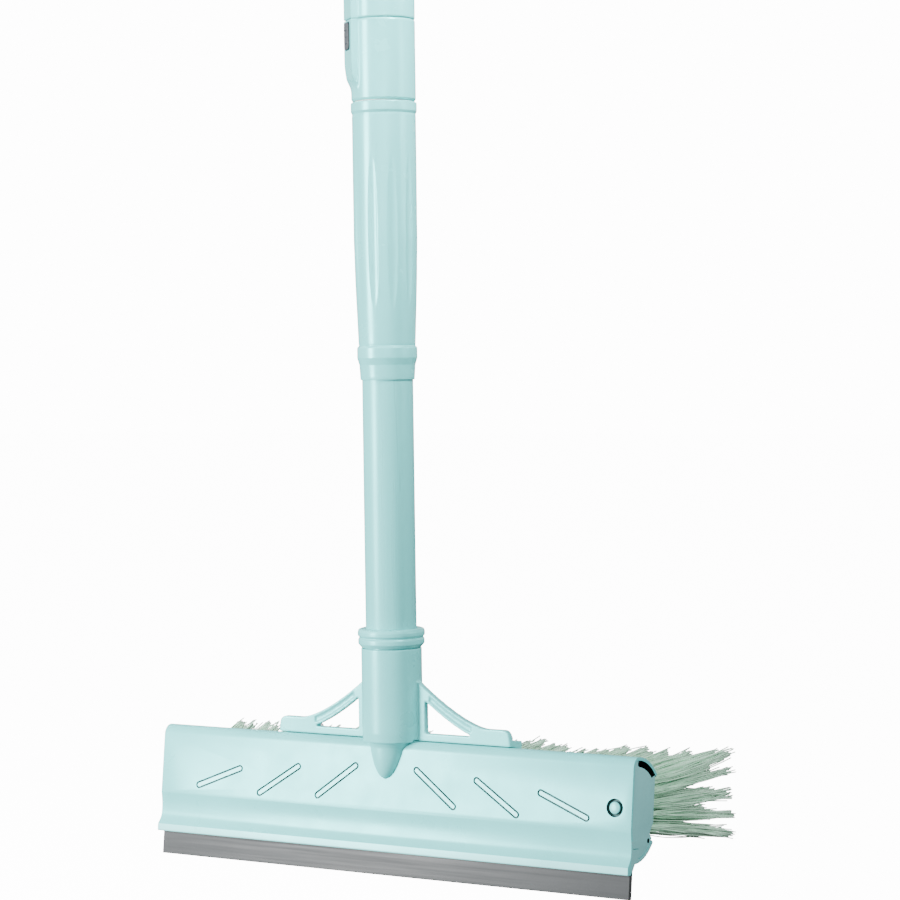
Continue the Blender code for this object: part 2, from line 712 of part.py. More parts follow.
def make_twist_sleeve():
    """The fluted sleeve: a ring at its top, a taper, a ring at its foot and a lip on the tube."""
    top, body = SLEEVE_TOP, SLEEVE_RADIUS
    profile = [(0.0156, top), (0.0159, top - 0.001), (0.0159, top - 0.0042), (0.0156, top - 0.0053)]
    profile += [(body, top - 0.006), (body, TAPER_TOP), (0.0149, 0.286), (0.0142, 0.268), (0.01375, 0.256)]
    profile += [(0.0144, 0.2545), (0.01455, 0.2530), (0.01455, 0.2500), (0.0142, 0.2470)]
    profile += [(0.01335, 0.2452), (0.0132, 0.2405), (0.01305, SLEEVE_BOTTOM)]
    profile += [(sleeve_bore(z), z) for z in (SLEEVE_BOTTOM, *SLEEVE_CONE, top)]
    sleeve = turned("twist_sleeve", profile, POLE, sides=48)
    for number in range(FLUTES):
        angle = FLUTE_TURN + 2 * math.pi * number / FLUTES
        cut(sleeve, flute_cutter(f"flute_{number + 1}", angle))
    return painted(sleeve, AQUA_PLASTIC)


def flute_cutter(name, angle):
    """A long slim ellipsoid that leans with the sleeve's taper, so its flute fades out at both ends."""
    belly, wide, reach = 0.0030, 0.0042, FLUTE_LENGTH / 2
    shape = bmesh.new()
    bmesh.ops.create_uvsphere(shape, u_segments=16, v_segments=16, radius=1)
    bmesh.ops.scale(shape, verts=shape.verts, vec=(belly, wide, reach))
    mesh = bpy.data.meshes.new(name)
    shape.to_mesh(mesh)
    shape.free()
    for vertex in mesh.vertices:
        below = max(TAPER_TOP - FLUTE_MIDDLE - vertex.co.z, 0)
        vertex.co.x -= below * TAPER_SLOPE
    outward = SLEEVE_RADIUS + belly - FLUTE_DEPTH
    turn = Matrix.Rotation(angle, 4, "Z")
    return added(name, mesh, POLE, turn @ Matrix.Translation((outward, 0, FLUTE_MIDDLE)))


def make_lock_collet():
    top = OUTER_TUBE_BOTTOM - GAP
    profile = [(0.01405, top), (0.01405, 0.302), (0.01315, COLLET_BOTTOM), (COLLET_BORE, COLLET_BOTTOM)]
    profile += [(COLLET_BORE, top)]
    collet = turned("lock_collet", profile, POLE)
    for number in range(2):
        place = Matrix.Rotation(math.radians(90 * number + 45), 4, "Z")
        slit = ((-0.02, -0.0006, COLLET_BOTTOM - 0.004), (0.02, 0.0006, 0.335))
        cut(collet, block(f"collet_slit_{number + 1}", *slit, POLE, place))
    return painted(collet, WHITE_NYLON)


def make_outer_tube():
    outer, bore = OUTER_TUBE_RADIUS, OUTER_TUBE_BORE
    top, bottom = OUTER_TUBE_TOP, OUTER_TUBE_BOTTOM
    profile = [(outer, top), (outer, bottom), (bore, bottom), (bore, top)]
    return painted(turned("outer_tube", profile, POLE), AQUA_TUBE)


def boss(name, low, high, ramp_low, ramp_high):
    """The raised boss that the button sits in: a bar along the pole that ramps down at an end."""
    root = COUPLING_BORE + 0.0004
    outline = [(root, low), (BOSS_RADIUS - 0.0019 * ramp_low, low)]
    if ramp_low:
        outline += [(BOSS_RADIUS - 0.0004, low + 0.0075), (BOSS_RADIUS, low + 0.011)]
    if ramp_high:
        outline += [(BOSS_RADIUS, high - 0.016), (BOSS_RADIUS - 0.0005, high - 0.010)]
    outline += [(BOSS_RADIUS - 0.0019 * ramp_high, high), (root, high)]
    place = Matrix.Rotation(BUTTON_ANGLE, 4, "Z") @ upright_place()
    bar = plate(name, [outline], 2 * BOSS_HALF_WIDE, POLE, place)
    rounding = bar.modifiers.new("Round", "BEVEL")
    rounding.width = 0.0016
    rounding.segments = 2
    rounding.limit_method = "ANGLE"
    rounding.angle_limit = math.radians(50)
    return bar


def make_coupling_collar():
    top = SEAM - 0.0002
    radius = COUPLING_RADIUS
    profile = [(radius - 0.0003, top), (radius, top - 0.0005), (radius, COUPLING_BOTTOM + 0.0008)]
    profile += [(radius - 0.0005, COUPLING_BOTTOM), (0.0120, COUPLING_BOTTOM), (0.0120, top)]
    collar = turned("coupling_collar", profile, POLE)
    join(collar, boss("coupling_boss", 0.3855, top, ramp_low=1, ramp_high=0))
    cut(collar, rod("coupling_bore", COUPLING_BORE, COUPLING_BOTTOM - 0.01, top + 0.01, POLE, sides=ROUND))
    place = button_place()
    wide, tall = BUTTON_WIDE / 2 + 0.0011, BUTTON_TALL / 2 + 0.0007
    pocket = ((0.0125, -wide, -tall), (POCKET_OUTER, wide, tall))
    cut(collar, block("button_pocket", *pocket, POLE, place))
    wide, tall = BUTTON_WIDE / 2 + GAP, BUTTON_TALL / 2 + GAP
    window = ((0.0150, -wide, -tall), (0.0220, wide, tall))
    cut(collar, block("button_window", *window, POLE, place))
    return painted(collar, AQUA_PLASTIC)


def make_lock_button():
    """The button's pad, which stands out of the boss, and its flange, which keeps it in."""
    quarter = math.radians(90)
    outward = Matrix.Rotation(quarter, 4, "Y") @ Matrix.Rotation(quarter, 4, "Z")
    along = button_place() @ outward
    flange_middle = FLANGE_INNER + FLANGE_THICK / 2
    flange_outline = rounded_rectangle(BUTTON_WIDE + 0.0014, BUTTON_TALL + 0.0008, 0.001)
    place = along @ Matrix.Translation((0, 0, flange_middle))
    body = plate("lock_button", [flange_outline], FLANGE_THICK, POLE, place)
    pad_outline = rounded_rectangle(BUTTON_WIDE, BUTTON_TALL, 0.002)
    pad_middle = (flange_middle + BUTTON_FACE) / 2
    pad_place = along @ Matrix.Translation((0, 0, pad_middle))
    pad = plate("button_pad", [pad_outline], BUTTON_FACE - flange_middle, POLE, pad_place)
    rounding = pad.modifiers.new("Round", "BEVEL")
    rounding.width = 0.0005
    rounding.segments = 2
    rounding.limit_method = "ANGLE"
    rounding.angle_limit = math.radians(50)
    return painted(join(body, pad), GREY_PLASTIC)


def make_button_spring():
    """A bowed leaf between the outer tube and the button's flange."""
    half, thick, steps = 0.0066, 0.0003, 8
    low, high = OUTER_TUBE_RADIUS + 0.00035, FLANGE_INNER - 0.00065
    outer = []
    for i in range(steps + 1):
        z = -half + 2 * half * i / steps
        outer.append((low + (high - low) * (1 - (z / half) ** 2) + thick, z))
    outline = outer + [(x - thick, z) for x, z in reversed(outer)]
    place = button_place() @ upright_place()
    return painted(plate("button_spring", [outline], 0.004, POLE, place), STEEL)


def make_upper_housing():
    low, radius = SEAM + 0.0002, COUPLING_RADIUS - 0.00005
    profile = [(0.0148, HOUSING_TOP), (0.0151, HOUSING_TOP - 0.001), (radius, HOUSING_TOP - 0.006)]
    profile += [(radius, low + 0.0005), (radius - 0.0003, low), (0.0120, low), (0.0120, HOUSING_TOP)]
    housing = turned("upper_housing", profile, POLE)
    join(housing, boss("housing_boss", low, 0.4445, ramp_low=0, ramp_high=1))
    cut(housing, rod("housing_bore", COUPLING_BORE, low - 0.01, HOUSING_TOP + 0.01, POLE, sides=ROUND))
    return painted(housing, AQUA_PLASTIC)


def make_hand_grip():
    """A grip with finger rings, slid over the outer tube."""
    rings, ring_pitch, ring_start = 7, 0.019, 0.590
    profile = [(GRIP_RADIUS - 0.0012, GRIP_TOP), (GRIP_RADIUS, GRIP_TOP - 0.0015)]
    for i in reversed(range(rings)):
        middle = ring_start + i * ring_pitch
        for offset, deep in ((0.0036, 0), (0.0020, 0.0007), (0, 0.0010), (-0.0020, 0.0007), (-0.0036, 0)):
            profile.append((GRIP_RADIUS - deep, middle + offset))
    profile += [(GRIP_RADIUS, GRIP_BOTTOM + 0.012), (0.0156, GRIP_BOTTOM + 0.002), (0.0150, GRIP_BOTTOM)]
    profile += [(COUPLING_BORE, GRIP_BOTTOM), (COUPLING_BORE, GRIP_TOP)]
    return painted(turned("hand_grip", profile, POLE), AQUA_PLASTIC)


def make_end_cap():
    """The cap: a plug in the tube, a flange on the grip and a flat loop with the hanging hole."""
    plug, flange_low = OUTER_TUBE_BORE - GAP, OUTER_TUBE_TOP + GAP
    profile = [(0, 0.7515), (0.0120, 0.7505), (0.0155, 0.7475), (GRIP_RADIUS, 0.7455)]
    profile += [(GRIP_RADIUS, flange_low), (plug, flange_low)]
    profile += [(plug, 0.7265), (0.0122, 0.7255), (0, 0.7255)]
    cap = turned("end_cap", profile, POLE, loop=False)
    half_wide, loop_radius = 0.0125, 0.0115
    outline = arc((0, HANG_HOLE_HEIGHT), loop_radius, 0, 180, 14)
    outline += [(-half_wide, 0.7475), (half_wide, 0.7475)]
    hole = arc((0, HANG_HOLE_HEIGHT), HANG_HOLE_RADIUS, 0, 345, 23)
    paddle = plate("paddle", [outline, hole], PADDLE_THICK, POLE, upright_place())
    return painted(join(cap, paddle), AQUA_PLASTIC)


def build_all():
    make_front_shell()
    make_brush_block()
    make_rubber_blade()
    for number in range(1, ROWS + 1):
        make_bristle_row(number)
    make_snap_peg()
    make_peg_spring()
    make_handle_bracket()
    for number, x in enumerate(SCREW_XS, 1):
        make_foot_screw(number, x)
    make_ferrule()
    make_inner_tube()
    make_top_glide()
    make_twist_sleeve()
    make_lock_collet()
    make_outer_tube()
    make_coupling_collar()
    make_lock_button()
    make_button_spring()
    make_upper_housing()
    make_hand_grip()
    make_end_cap()


build_all()
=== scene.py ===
"""Looks of the window squeegee: finely shaped shells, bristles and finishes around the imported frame.

Everything is in metres in the frame's own axes: X along the head, -Y the blade's side, +Z up the pole.
Pieces of the head are drawn in a head frame that leans with it, where depth is measured back from the
flat front face and height up from the blade's working edge.
"""

import collections
import json
import math

import bmesh
import bpy
import numpy as np
from mathutils import Matrix, Vector

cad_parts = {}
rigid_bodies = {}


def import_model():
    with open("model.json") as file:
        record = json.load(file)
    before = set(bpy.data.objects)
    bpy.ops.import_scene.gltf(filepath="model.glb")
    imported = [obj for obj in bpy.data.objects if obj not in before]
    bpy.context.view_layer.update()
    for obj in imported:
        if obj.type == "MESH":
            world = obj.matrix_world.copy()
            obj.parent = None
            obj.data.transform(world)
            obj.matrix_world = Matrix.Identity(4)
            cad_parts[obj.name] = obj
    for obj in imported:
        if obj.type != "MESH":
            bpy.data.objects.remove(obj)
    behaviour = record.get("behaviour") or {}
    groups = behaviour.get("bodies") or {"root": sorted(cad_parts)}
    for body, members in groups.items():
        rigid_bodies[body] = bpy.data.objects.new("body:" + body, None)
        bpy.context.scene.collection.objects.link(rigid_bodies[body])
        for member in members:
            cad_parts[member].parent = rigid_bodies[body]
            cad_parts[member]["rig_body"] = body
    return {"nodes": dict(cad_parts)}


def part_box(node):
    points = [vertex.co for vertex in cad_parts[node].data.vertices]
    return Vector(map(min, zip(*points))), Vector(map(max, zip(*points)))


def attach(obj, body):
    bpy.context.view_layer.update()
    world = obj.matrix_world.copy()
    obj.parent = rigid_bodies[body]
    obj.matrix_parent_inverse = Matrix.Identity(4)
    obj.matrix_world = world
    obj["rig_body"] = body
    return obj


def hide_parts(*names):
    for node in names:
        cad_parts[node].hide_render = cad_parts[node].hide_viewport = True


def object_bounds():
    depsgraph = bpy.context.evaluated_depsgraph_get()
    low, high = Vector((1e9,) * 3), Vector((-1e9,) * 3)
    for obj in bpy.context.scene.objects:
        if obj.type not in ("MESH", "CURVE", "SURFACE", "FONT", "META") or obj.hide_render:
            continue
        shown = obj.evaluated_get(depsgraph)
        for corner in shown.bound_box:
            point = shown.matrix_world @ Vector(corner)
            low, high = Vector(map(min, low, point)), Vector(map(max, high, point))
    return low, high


for leftover in list(bpy.data.objects):
    bpy.data.objects.remove(leftover, do_unlink=True)

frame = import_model()
CAD_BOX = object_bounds()
SLOT_OF = {name: node.data.materials[0].name for name, node in frame["nodes"].items()}

# The head, as the frame has it
HEAD_PITCH = math.radians(7)
HEAD = Matrix.Rotation(-HEAD_PITCH, 4, "X")
FACE_Y = -0.0041
GAP = 0.0003
HEAD_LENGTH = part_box("front_shell")[1].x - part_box("front_shell")[0].x
SHELL_WALL = 0.0016
SHELL_TOP = 0.0653
FACE_TOP = 0.0601
FACE_BOTTOM = 0.031
ROLL_DEPTH = 0.0052
ROLL_RADIUS = 0.027
ROLL_END_ANGLE = 44
LIP_DEPTH = -0.0015
LIP_HEIGHT = 0.0126
LIP_LAND = 0.0024
LIP_ROUND = 0.0008
COVE_SAG = 0.0022
COVE_DEEPEST = 0.68
CURL = (0.0045, 0.0395)
CURL_RADIUS = 0.0232
CURL_END_ANGLE = -36
END_WEB = 0.0007
BLADE_FRONT = 0.0026
BLADE_THICK = 0.003
BLADE_HEEL_DEPTH = 0.0072
BLADE_HEEL_HEIGHT = 0.019
BLADE_TOP = 0.0214
SLOT_ROOF = 0.0231
SLOT_ROOF_FRONT = 0.0032
THICK_WALL_TOP = (0.003, 0.027)
RIB_THICK = 0.0014
BLOCK_TOP = 0.0607
BLOCK_BACK = 0.023
END_SLOT_FRONT = 0.0049
END_SLOT_ANGLE = 50
END_HOLE = (0.0188, 0.0266)
END_HOLE_RADIUS = 0.0012
END_HOLE_DEEP = 0.006
BLOCK_STEP_HEIGHT = 0.0347
BLOCK_STEP_FOOT = (0.0198, 0.0302)
BLOCK_CURL_START = (0.0212, 0.0288)
BARS = ((0.028, 0.0437, 36.5), (0.062, 0.0418, 33.0), (0.098, 0.0408, 21.7))
BAR_LENGTH = 0.030
BAR_WIDTH = 0.0036
GROOVE_WIDTH = 0.0009
GROOVE_DEPTH = 0.0008
PEG = (0.1247, 0.0416)
PEG_RADIUS = 0.0029
PEG_HOLE_RADIUS = 0.0043
PEG_POCKET_RADIUS = 0.0056
PEG_FLANGE = 0.0052
PEG_STEM = 0.0024
PEG_PROUD = 0.0005
PEG_FLANGE_BACK = -0.0032
PEG_END = -0.009
NEAR = 0.0001

# The brush
ROWS = 5
TUFTS = 38
FILAMENTS = 44
ROW_PITCH = 0.0052
FIRST_ROW = 0.0324
FIRST_TIP_ROW = 0.030
TIP_PITCH = 0.0086
END_TIP_HEIGHTS = (0.0292, 0.0375, 0.0490, 0.0590, 0.0660)
BRISTLE_TIPS = (0.0905, 0.0900, 0.0885, 0.0860, 0.0820)
ROOT_HALF = 0.1262
TIP_HALF = 0.1415
FILAMENT_RADIUS = 0.00034
TUFT_RADIUS = 0.0017
CLUMPS = 5
CRIMPS = 9.5
STATIONS = 11

# The bracket
POLE_Y = (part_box("inner_tube")[0].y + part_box("inner_tube")[1].y) / 2
POLE = Matrix.Translation((0, POLE_Y, 0))
SOCKET_RADIUS = 0.0147
SOCKET_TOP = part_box("handle_bracket")[1].z
SOCKET_BORE = 0.0135
SOCKET_FLOOR = 0.080
NOSE_TIP = 0.0465
NOSE_PARABOLA = 0.015
NOSE_RADIUS = 0.0096
NOSE_TOP = 0.070
FOOT_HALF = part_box("handle_bracket")[1].x
NOSE_FLARE_RADIUS = 0.0143
FOOT_FRONT = 0.0042
FOOT_BACK = 0.0155
FOOT_THICK = 0.003
GUSSET_HALF = 0.0655
GUSSET_Y = 0.0007
GUSSET_THICK = 0.0035
PAD_TOP = 0.0728
PAD_START = 0.053
PAD_CORNER = 0.0035
ARM_RISE = 0.018
ARM_INNER = 0.0186
ARM_WIDTH = 0.006
ARM_POWER = 1.5
WINDOW_INNER = 0.019
WINDOW_FLOOR = 0.0687
RIM_WIDTH = 0.0016
RECESS_DEPTH = 0.0007
SCREW_XS = (-0.060, -0.048, 0.048, 0.060)
SCREW_DEPTH = 0.0124
SCREW_LENGTH = 0.0065
SCREW_HOLE_RADIUS = 0.0016

# The pole
LOWER_TUBE = (0.01235, 0.0115)
UPPER_TUBE = (0.014, 0.013)
COUPLING_RADIUS = 0.01555
COUPLING_BORE = 0.01435
SLEEVE_RADIUS = 0.0154
SLEEVE_BORE = 0.01425
TAPER_TOP = 0.306
TAPER_SLOPE = 0.034
SLEEVE_TAPER = ((0.256, 0.01375), (0.268, 0.0142), (0.286, 0.0149), (TAPER_TOP, SLEEVE_RADIUS))
FLUTES = 10
FLUTE_TURN = math.radians(27.3)
FLUTE_DEPTH = 0.00075
FLUTE_MIDDLE = 0.311
FLUTE_LENGTH = 0.108
GRIP_RADIUS = 0.0166
BUTTON_ANGLE = math.radians(228)
BUTTON_HEIGHT = 0.4036
BUTTON_TALL = 0.0130
BUTTON_WIDE = 0.008
BUTTON_FACE = 0.0186
BOSS_RADIUS = 0.0176
BOSS_HALF_WIDE = 0.0068
BOSS_LOW_RAMP = (0.3738, 0.3918)
BOSS_HIGH_RAMP = (0.4270, 0.4435)
HANG_HOLE_HEIGHT = 0.766
HANG_HOLE_RADIUS = 0.0048
PADDLE_THICK = 0.008
PADDLE_RADIUS = 0.0115

# The stage: the world's strength on the object and before the camera, the floor, and each softbox's name,
# place, target, size, power and spread. The key stands on the left, the fill by the camera, the strip
# high on the right for the grip, and the rim on the right for the head's end and the bristles.
SURROUND = 0.75
BACKDROP = 14.0
FLOOR_HALF = 14.0
FLOOR_DROP = 0.2135
FLOOR_GLOW = 13.0
FLOOR_BOUNCE = (0.1, 0.1, 0.1)
SOFTBOXES = (
    ("key", (-1.45, -2.1, 0.45), (0, 0, 0.16), (0.75, 1.5), 220, 180),
    ("fill", (1.3, -2.0, 0.9), (0, 0, 0.2), (1.2, 1.2), 14, 180),
    ("strip", (0.45, -0.15, 0.95), (0, 0, 0.75), (0.15, 0.4), 11, 80),
    ("rim", (2.0, 0.5, 0.7), (0, 0, 0.05), (0.8, 0.8), 14, 180),
)


# Outlines

def arc(centre, radius, start, end, steps):
    """Points on an arc, its angles in degrees from the first axis."""
    angles = np.radians(np.linspace(start, end, steps + 1))
    return [(centre[0] + radius * math.cos(a), centre[1] + radius * math.sin(a)) for a in angles]


def cove(start, end, sag, deepest, steps):
    """Points from start to end on a curve that stands off the straight line by sag, furthest at the
    share of the way called deepest."""
    points = []
    for t in np.linspace(0, 1, steps + 1):
        turn = t / deepest if t < deepest else (1 - t) / (1 - deepest)
        bulge = sag * math.sin(turn * math.pi / 2)
        points.append((start[0] + (end[0] - start[0]) * t + bulge, start[1] + (end[1] - start[1]) * t))
    return points


def softened(corners, closed=True, steps=4):
    """The outline through corners (a, b) or (a, b, radius): a corner with a radius is turned softly."""
    least_tangent, most_of_an_edge = 0.05, 0.48
    points = []
    count = len(corners)
    for i, (a, b, *soft) in enumerate(corners):
        if not soft or (not closed and i in (0, count - 1)):
            points.append((a, b))
            continue
        here = Vector((a, b))
        before = Vector(corners[i - 1][:2]) - here
        after = Vector(corners[(i + 1) % count][:2]) - here
        reach = soft[0] / max(math.tan(before.angle(after) / 2), least_tangent)
        reach = min(reach, most_of_an_edge * before.length, most_of_an_edge * after.length)
        start, end = here + before.normalized() * reach, here + after.normalized() * reach
        for t in np.linspace(0, 1, steps + 1):
            points.append(tuple((1 - t) ** 2 * start + 2 * t * (1 - t) * here + t * t * end))
    return points


def rounded_box(wide, tall, corner):
    sides = ((0.5, 0.5), (-0.5, 0.5), (-0.5, -0.5), (0.5, -0.5))
    return softened([(x * wide, z * tall, corner) for x, z in sides], steps=8)


def smoothstep(x):
    t = min(max(x, 0), 1)
    return t * t * (3 - 2 * t)


# Making meshes

def linked(name, mesh, place=None):
    obj = bpy.data.objects.new(name, mesh)
    bpy.context.scene.collection.objects.link(obj)
    if place is not None:
        obj.matrix_world = place
    return obj


def evaluated_mesh(obj):
    """The object's mesh with its modifiers applied, or a curve's filled shape."""
    bpy.context.view_layer.update()
    graph = bpy.context.evaluated_depsgraph_get()
    return bpy.data.meshes.new_from_object(obj.evaluated_get(graph))


def tidied(shape, mesh, distance):
    """Merges points this near, turns the faces outward and writes the shape into the mesh."""
    bmesh.ops.remove_doubles(shape, verts=shape.verts, dist=distance)
    bmesh.ops.recalc_face_normals(shape, faces=shape.faces)
    shape.to_mesh(mesh)
    shape.free()


def baked(obj, smooth_angle=35):
    """Applies the object's modifiers and place, and shades it smooth between creases."""
    mesh = evaluated_mesh(obj)
    mesh.transform(obj.matrix_world)
    obj.modifiers.clear()
    obj.data = mesh
    obj.matrix_world = Matrix.Identity(4)
    mesh.shade_smooth()
    mesh.set_sharp_from_angle(angle=math.radians(smooth_angle))


def lathe(name, profile, place=POLE, sides=112, closed=True, reach=None):
    """A profile of (radius, height) points turned about Z. reach(radius, height, angle) may change a
    point's radius. A profile that isn't closed starts and ends on the axis."""
    shape = bmesh.new()
    rings = []
    for radius, height in profile:
        ring = []
        for i in range(sides):
            angle = 2 * math.pi * i / sides
            r = reach(radius, height, angle) if reach else radius
            ring.append(shape.verts.new((r * math.cos(angle), r * math.sin(angle), height)))
        rings.append(ring)
    pairs = list(zip(rings, rings[1:]))
    if closed:
        pairs.append((rings[-1], rings[0]))
    for one, other in pairs:
        for i in range(sides):
            k = (i + 1) % sides
            shape.faces.new((one[i], one[k], other[k], other[i]))
    mesh = bpy.data.meshes.new(name)
    tidied(shape, mesh, 1e-7)
    return linked(name, mesh, place)


def plate(name, outlines, thickness, place, bevel=0.0, bevel_angle=40):
    """A flat outline, with any holes, made this thick about its plane, with its edges rounded."""
    curve = bpy.data.curves.new(name, "CURVE")
    curve.dimensions = "2D"
    curve.fill_mode = "BOTH"
    curve.extrude = thickness / 2
    for outline in outlines:
        spline = curve.splines.new("POLY")
        spline.points.add(len(outline) - 1)
        for point, (x, y) in zip(spline.points, outline):
            point.co = (x, y, 0, 1)
        spline.use_cyclic_u = True
    flat = linked(name + "_curve", curve)
    mesh = evaluated_mesh(flat)
    bpy.data.objects.remove(flat, do_unlink=True)
    shape = bmesh.new()
    shape.from_mesh(mesh)
    tidied(shape, mesh, 1e-6)
    mesh.name = name
    obj = linked(name, mesh, place)
    if bevel:
        rounding = obj.modifiers.new("Round", "BEVEL")
        rounding.width = bevel
        rounding.segments = 3
        rounding.limit_method = "ANGLE"
        rounding.angle_limit = math.radians(bevel_angle)
        rounding.use_clamp_overlap = True
    return obj


def block(name, low, high, place):
    """A box between two corners."""
    shape = bmesh.new()
    bmesh.ops.create_cube(shape, size=1)
    bmesh.ops.scale(shape, verts=shape.verts, vec=[b - a for a, b in zip(low, high)])
    bmesh.ops.translate(shape, verts=shape.verts, vec=[(a + b) / 2 for a, b in zip(low, high)])
    mesh = bpy.data.meshes.new(name)
    shape.to_mesh(mesh)
    shape.free()
    return linked(name, mesh, place)


def rod(name, radius, low, high, place=POLE, sides=48):
    profile = [(0, high), (radius, high), (radius, low), (0, low)]
    return lathe(name, profile, place, sides, closed=False)


def combined(target, others, operation):
    """Cuts or joins the target with other objects, which are then removed."""
    for other in others:
        change = target.modifiers.new(other.name, "BOOLEAN")
        change.operation = operation
        change.solver = "EXACT"
        change.object = other
    mesh = evaluated_mesh(target)
    target.modifiers.clear()
    target.data = mesh
    for other in others:
        bpy.data.objects.remove(other, do_unlink=True)
    return target


def moulded(obj, voxel, passes):
    """Remeshes the object finely and relaxes it, which rounds its edges and joins."""
    remesh = obj.modifiers.new("Remesh", "REMESH")
    remesh.mode = "VOXEL"
    remesh.voxel_size = voxel
    relax = obj.modifiers.new("Relax", "SMOOTH")
    relax.factor = 0.5
    relax.iterations = passes


def stands_for(obj, node):
    """The piece replaces a CAD node, which is hidden: it rides on the node's body."""
    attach(obj, frame["nodes"][node]["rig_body"])
    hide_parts(node)


def finished(obj, node, material, smooth_angle=35):
    """Bakes the piece, gives it its finish and lets it stand for a CAD node."""
    baked(obj, smooth_angle)
    obj.data.materials.clear()
    obj.data.materials.append(material)
    stands_for(obj, node)


Facet = collections.namedtuple("Facet", "centre normal area")


def repaint(obj, material, chosen):
    """Gives another material to the faces that chosen(facet) picks, in the head frame."""
    obj.data.materials.append(material)
    level = HEAD.inverted()
    level_normal = level.to_3x3()
    for face in obj.data.polygons:
        if chosen(Facet(level @ face.center, level_normal @ face.normal, face.area)):
            face.material_index = len(obj.data.materials) - 1


# Placing

def turned(degrees, axis):
    return Matrix.Rotation(math.radians(degrees), 4, axis)


def in_head(x, depth, height):
    return HEAD @ Matrix.Translation((x, FACE_Y + depth, height))


def section_place(x=0.0):
    """Places a (depth, height) outline in the head frame, with its thickness along X."""
    columns = Matrix(((0, 0, 1), (1, 0, 0), (0, 1, 0))).to_4x4()
    return in_head(x, 0, 0) @ columns


def upright_place(y=0.0):
    """Places an (X, height) outline, with its thickness along Y."""
    return Matrix.Translation((0, y, 0)) @ turned(90, "X")


def peg_place():
    """Z points out of the front face, from the face's plane."""
    return in_head(PEG[0], 0, PEG[1]) @ turned(90, "X")


def screw_place(x):
    return in_head(x, SCREW_DEPTH, SHELL_TOP)


def button_place():
    """At the button's height, with X round the pole, Y up it and Z out of it."""
    out = Matrix.Rotation(BUTTON_ANGLE, 4, "Z") @ Matrix.Translation((0, 0, BUTTON_HEIGHT))
    return POLE @ out @ turned(90, "Y") @ turned(90, "Z")


# Materials

WHITE = (1.0, 1.0, 1.0)
# The mix node's colour sockets, by number
COLOUR_A, COLOUR_B, MIXED_COLOUR = 6, 7, 2


class Nodes:
    """A small helper that adds, fills and links shader nodes."""

    def __init__(self, name):
        self.material = bpy.data.materials.new(name)
        self.material.use_nodes = True
        self.tree = self.material.node_tree
        self.place = self.add("ShaderNodeTexCoord").outputs["Object"]

    def fill(self, node, inputs):
        """Gives each input a constant, or links another node's output to it."""
        for key, source in inputs.items():
            if isinstance(source, bpy.types.NodeSocket):
                self.tree.links.new(source, node.inputs[key])
            else:
                node.inputs[key].default_value = source

    def add(self, kind, inputs=None):
        node = self.tree.nodes.new(kind)
        self.fill(node, inputs or {})
        return node

    def noise(self, scale, detail, stretch=(1, 1, 1)):
        """Noise over the object's own coordinates, which stretch scales along each axis."""
        mapped = self.add("ShaderNodeMapping", {"Scale": stretch, "Vector": self.place}).outputs["Vector"]
        inputs = {"Scale": scale, "Detail": detail, "Roughness": 0.55, "Vector": mapped}
        return self.add("ShaderNodeTexNoise", inputs).outputs["Fac"]

    def ranged(self, value, from_low, from_high, to_low, to_high):
        limits = {"From Min": from_low, "From Max": from_high, "To Min": to_low, "To Max": to_high}
        return self.add("ShaderNodeMapRange", {"Value": value, **limits}).outputs["Result"]

    def mixed(self, factor, *colours):
        """A colour between two, each a colour or a socket."""
        node = self.add("ShaderNodeMix")
        node.data_type = "RGBA"
        one, other = [(*c, 1) if isinstance(c, tuple) else c for c in colours]
        self.fill(node, {"Factor": factor, COLOUR_A: one, COLOUR_B: other})
        return node.outputs[MIXED_COLOUR]

    def bumped(self, *heights):
        """A normal from chained bumps, each (height socket, distance in metres, strength)."""
        chained = {}
        for height, distance, strength in heights:
            inputs = {"Height": height, "Distance": distance, "Strength": strength, **chained}
            chained = {"Normal": self.add("ShaderNodeBump", inputs).outputs["Normal"]}
        return chained["Normal"]

    def finish(self, inputs):
        self.fill(self.tree.nodes["Principled BSDF"], inputs)
        return self.material


def shaded(colour, amount):
    return tuple(min(c * amount, 1.0) for c in colour)


def plastic(name, colour, roughness, mottle=0.05, specular=0.5, tint=WHITE):
    """Moulded plastic: slight flow mottling, a fine skin texture and soft variation in its gloss."""
    nodes = Nodes(name)
    flow = nodes.ranged(nodes.noise(26, 4, stretch=(1, 1, 0.6)), 0.35, 0.65, 0, 1)
    base = nodes.mixed(flow, shaded(colour, 1 - mottle), shaded(colour, 1 + mottle * 0.5))
    specks = nodes.ranged(nodes.noise(900, 2), 0.62, 0.72, 0, 0.25)
    return nodes.finish({
        "Base Color": nodes.mixed(specks, base, shaded(colour, 0.9)),
        "Roughness": nodes.ranged(nodes.noise(60, 5), 0.3, 0.7, roughness * 0.85, roughness * 1.2),
        "Specular IOR Level": specular,
        "Specular Tint": (*tint, 1),
        "Normal": nodes.bumped((nodes.noise(38, 2), 0.0004, 0.12), (nodes.noise(750, 2), 0.00004, 0.5)),
    })


def painted_tube(name, colour, specular, tint):
    """Powder-coated tube: glossier than the mouldings, with orange peel and faint lengthwise rubbing."""
    nodes = Nodes(name)
    rubbing = nodes.noise(300, 3, stretch=(1, 1, 0.03))
    return nodes.finish({
        "Base Color": nodes.mixed(nodes.ranged(rubbing, 0.4, 0.7, 0, 1), colour, shaded(colour, 0.95)),
        "Roughness": nodes.ranged(rubbing, 0.3, 0.7, 0.24, 0.36),
        "Specular IOR Level": specular,
        "Specular Tint": (*tint, 1),
        "Normal": nodes.bumped((nodes.noise(420, 2), 0.00005, 0.35)),
    })


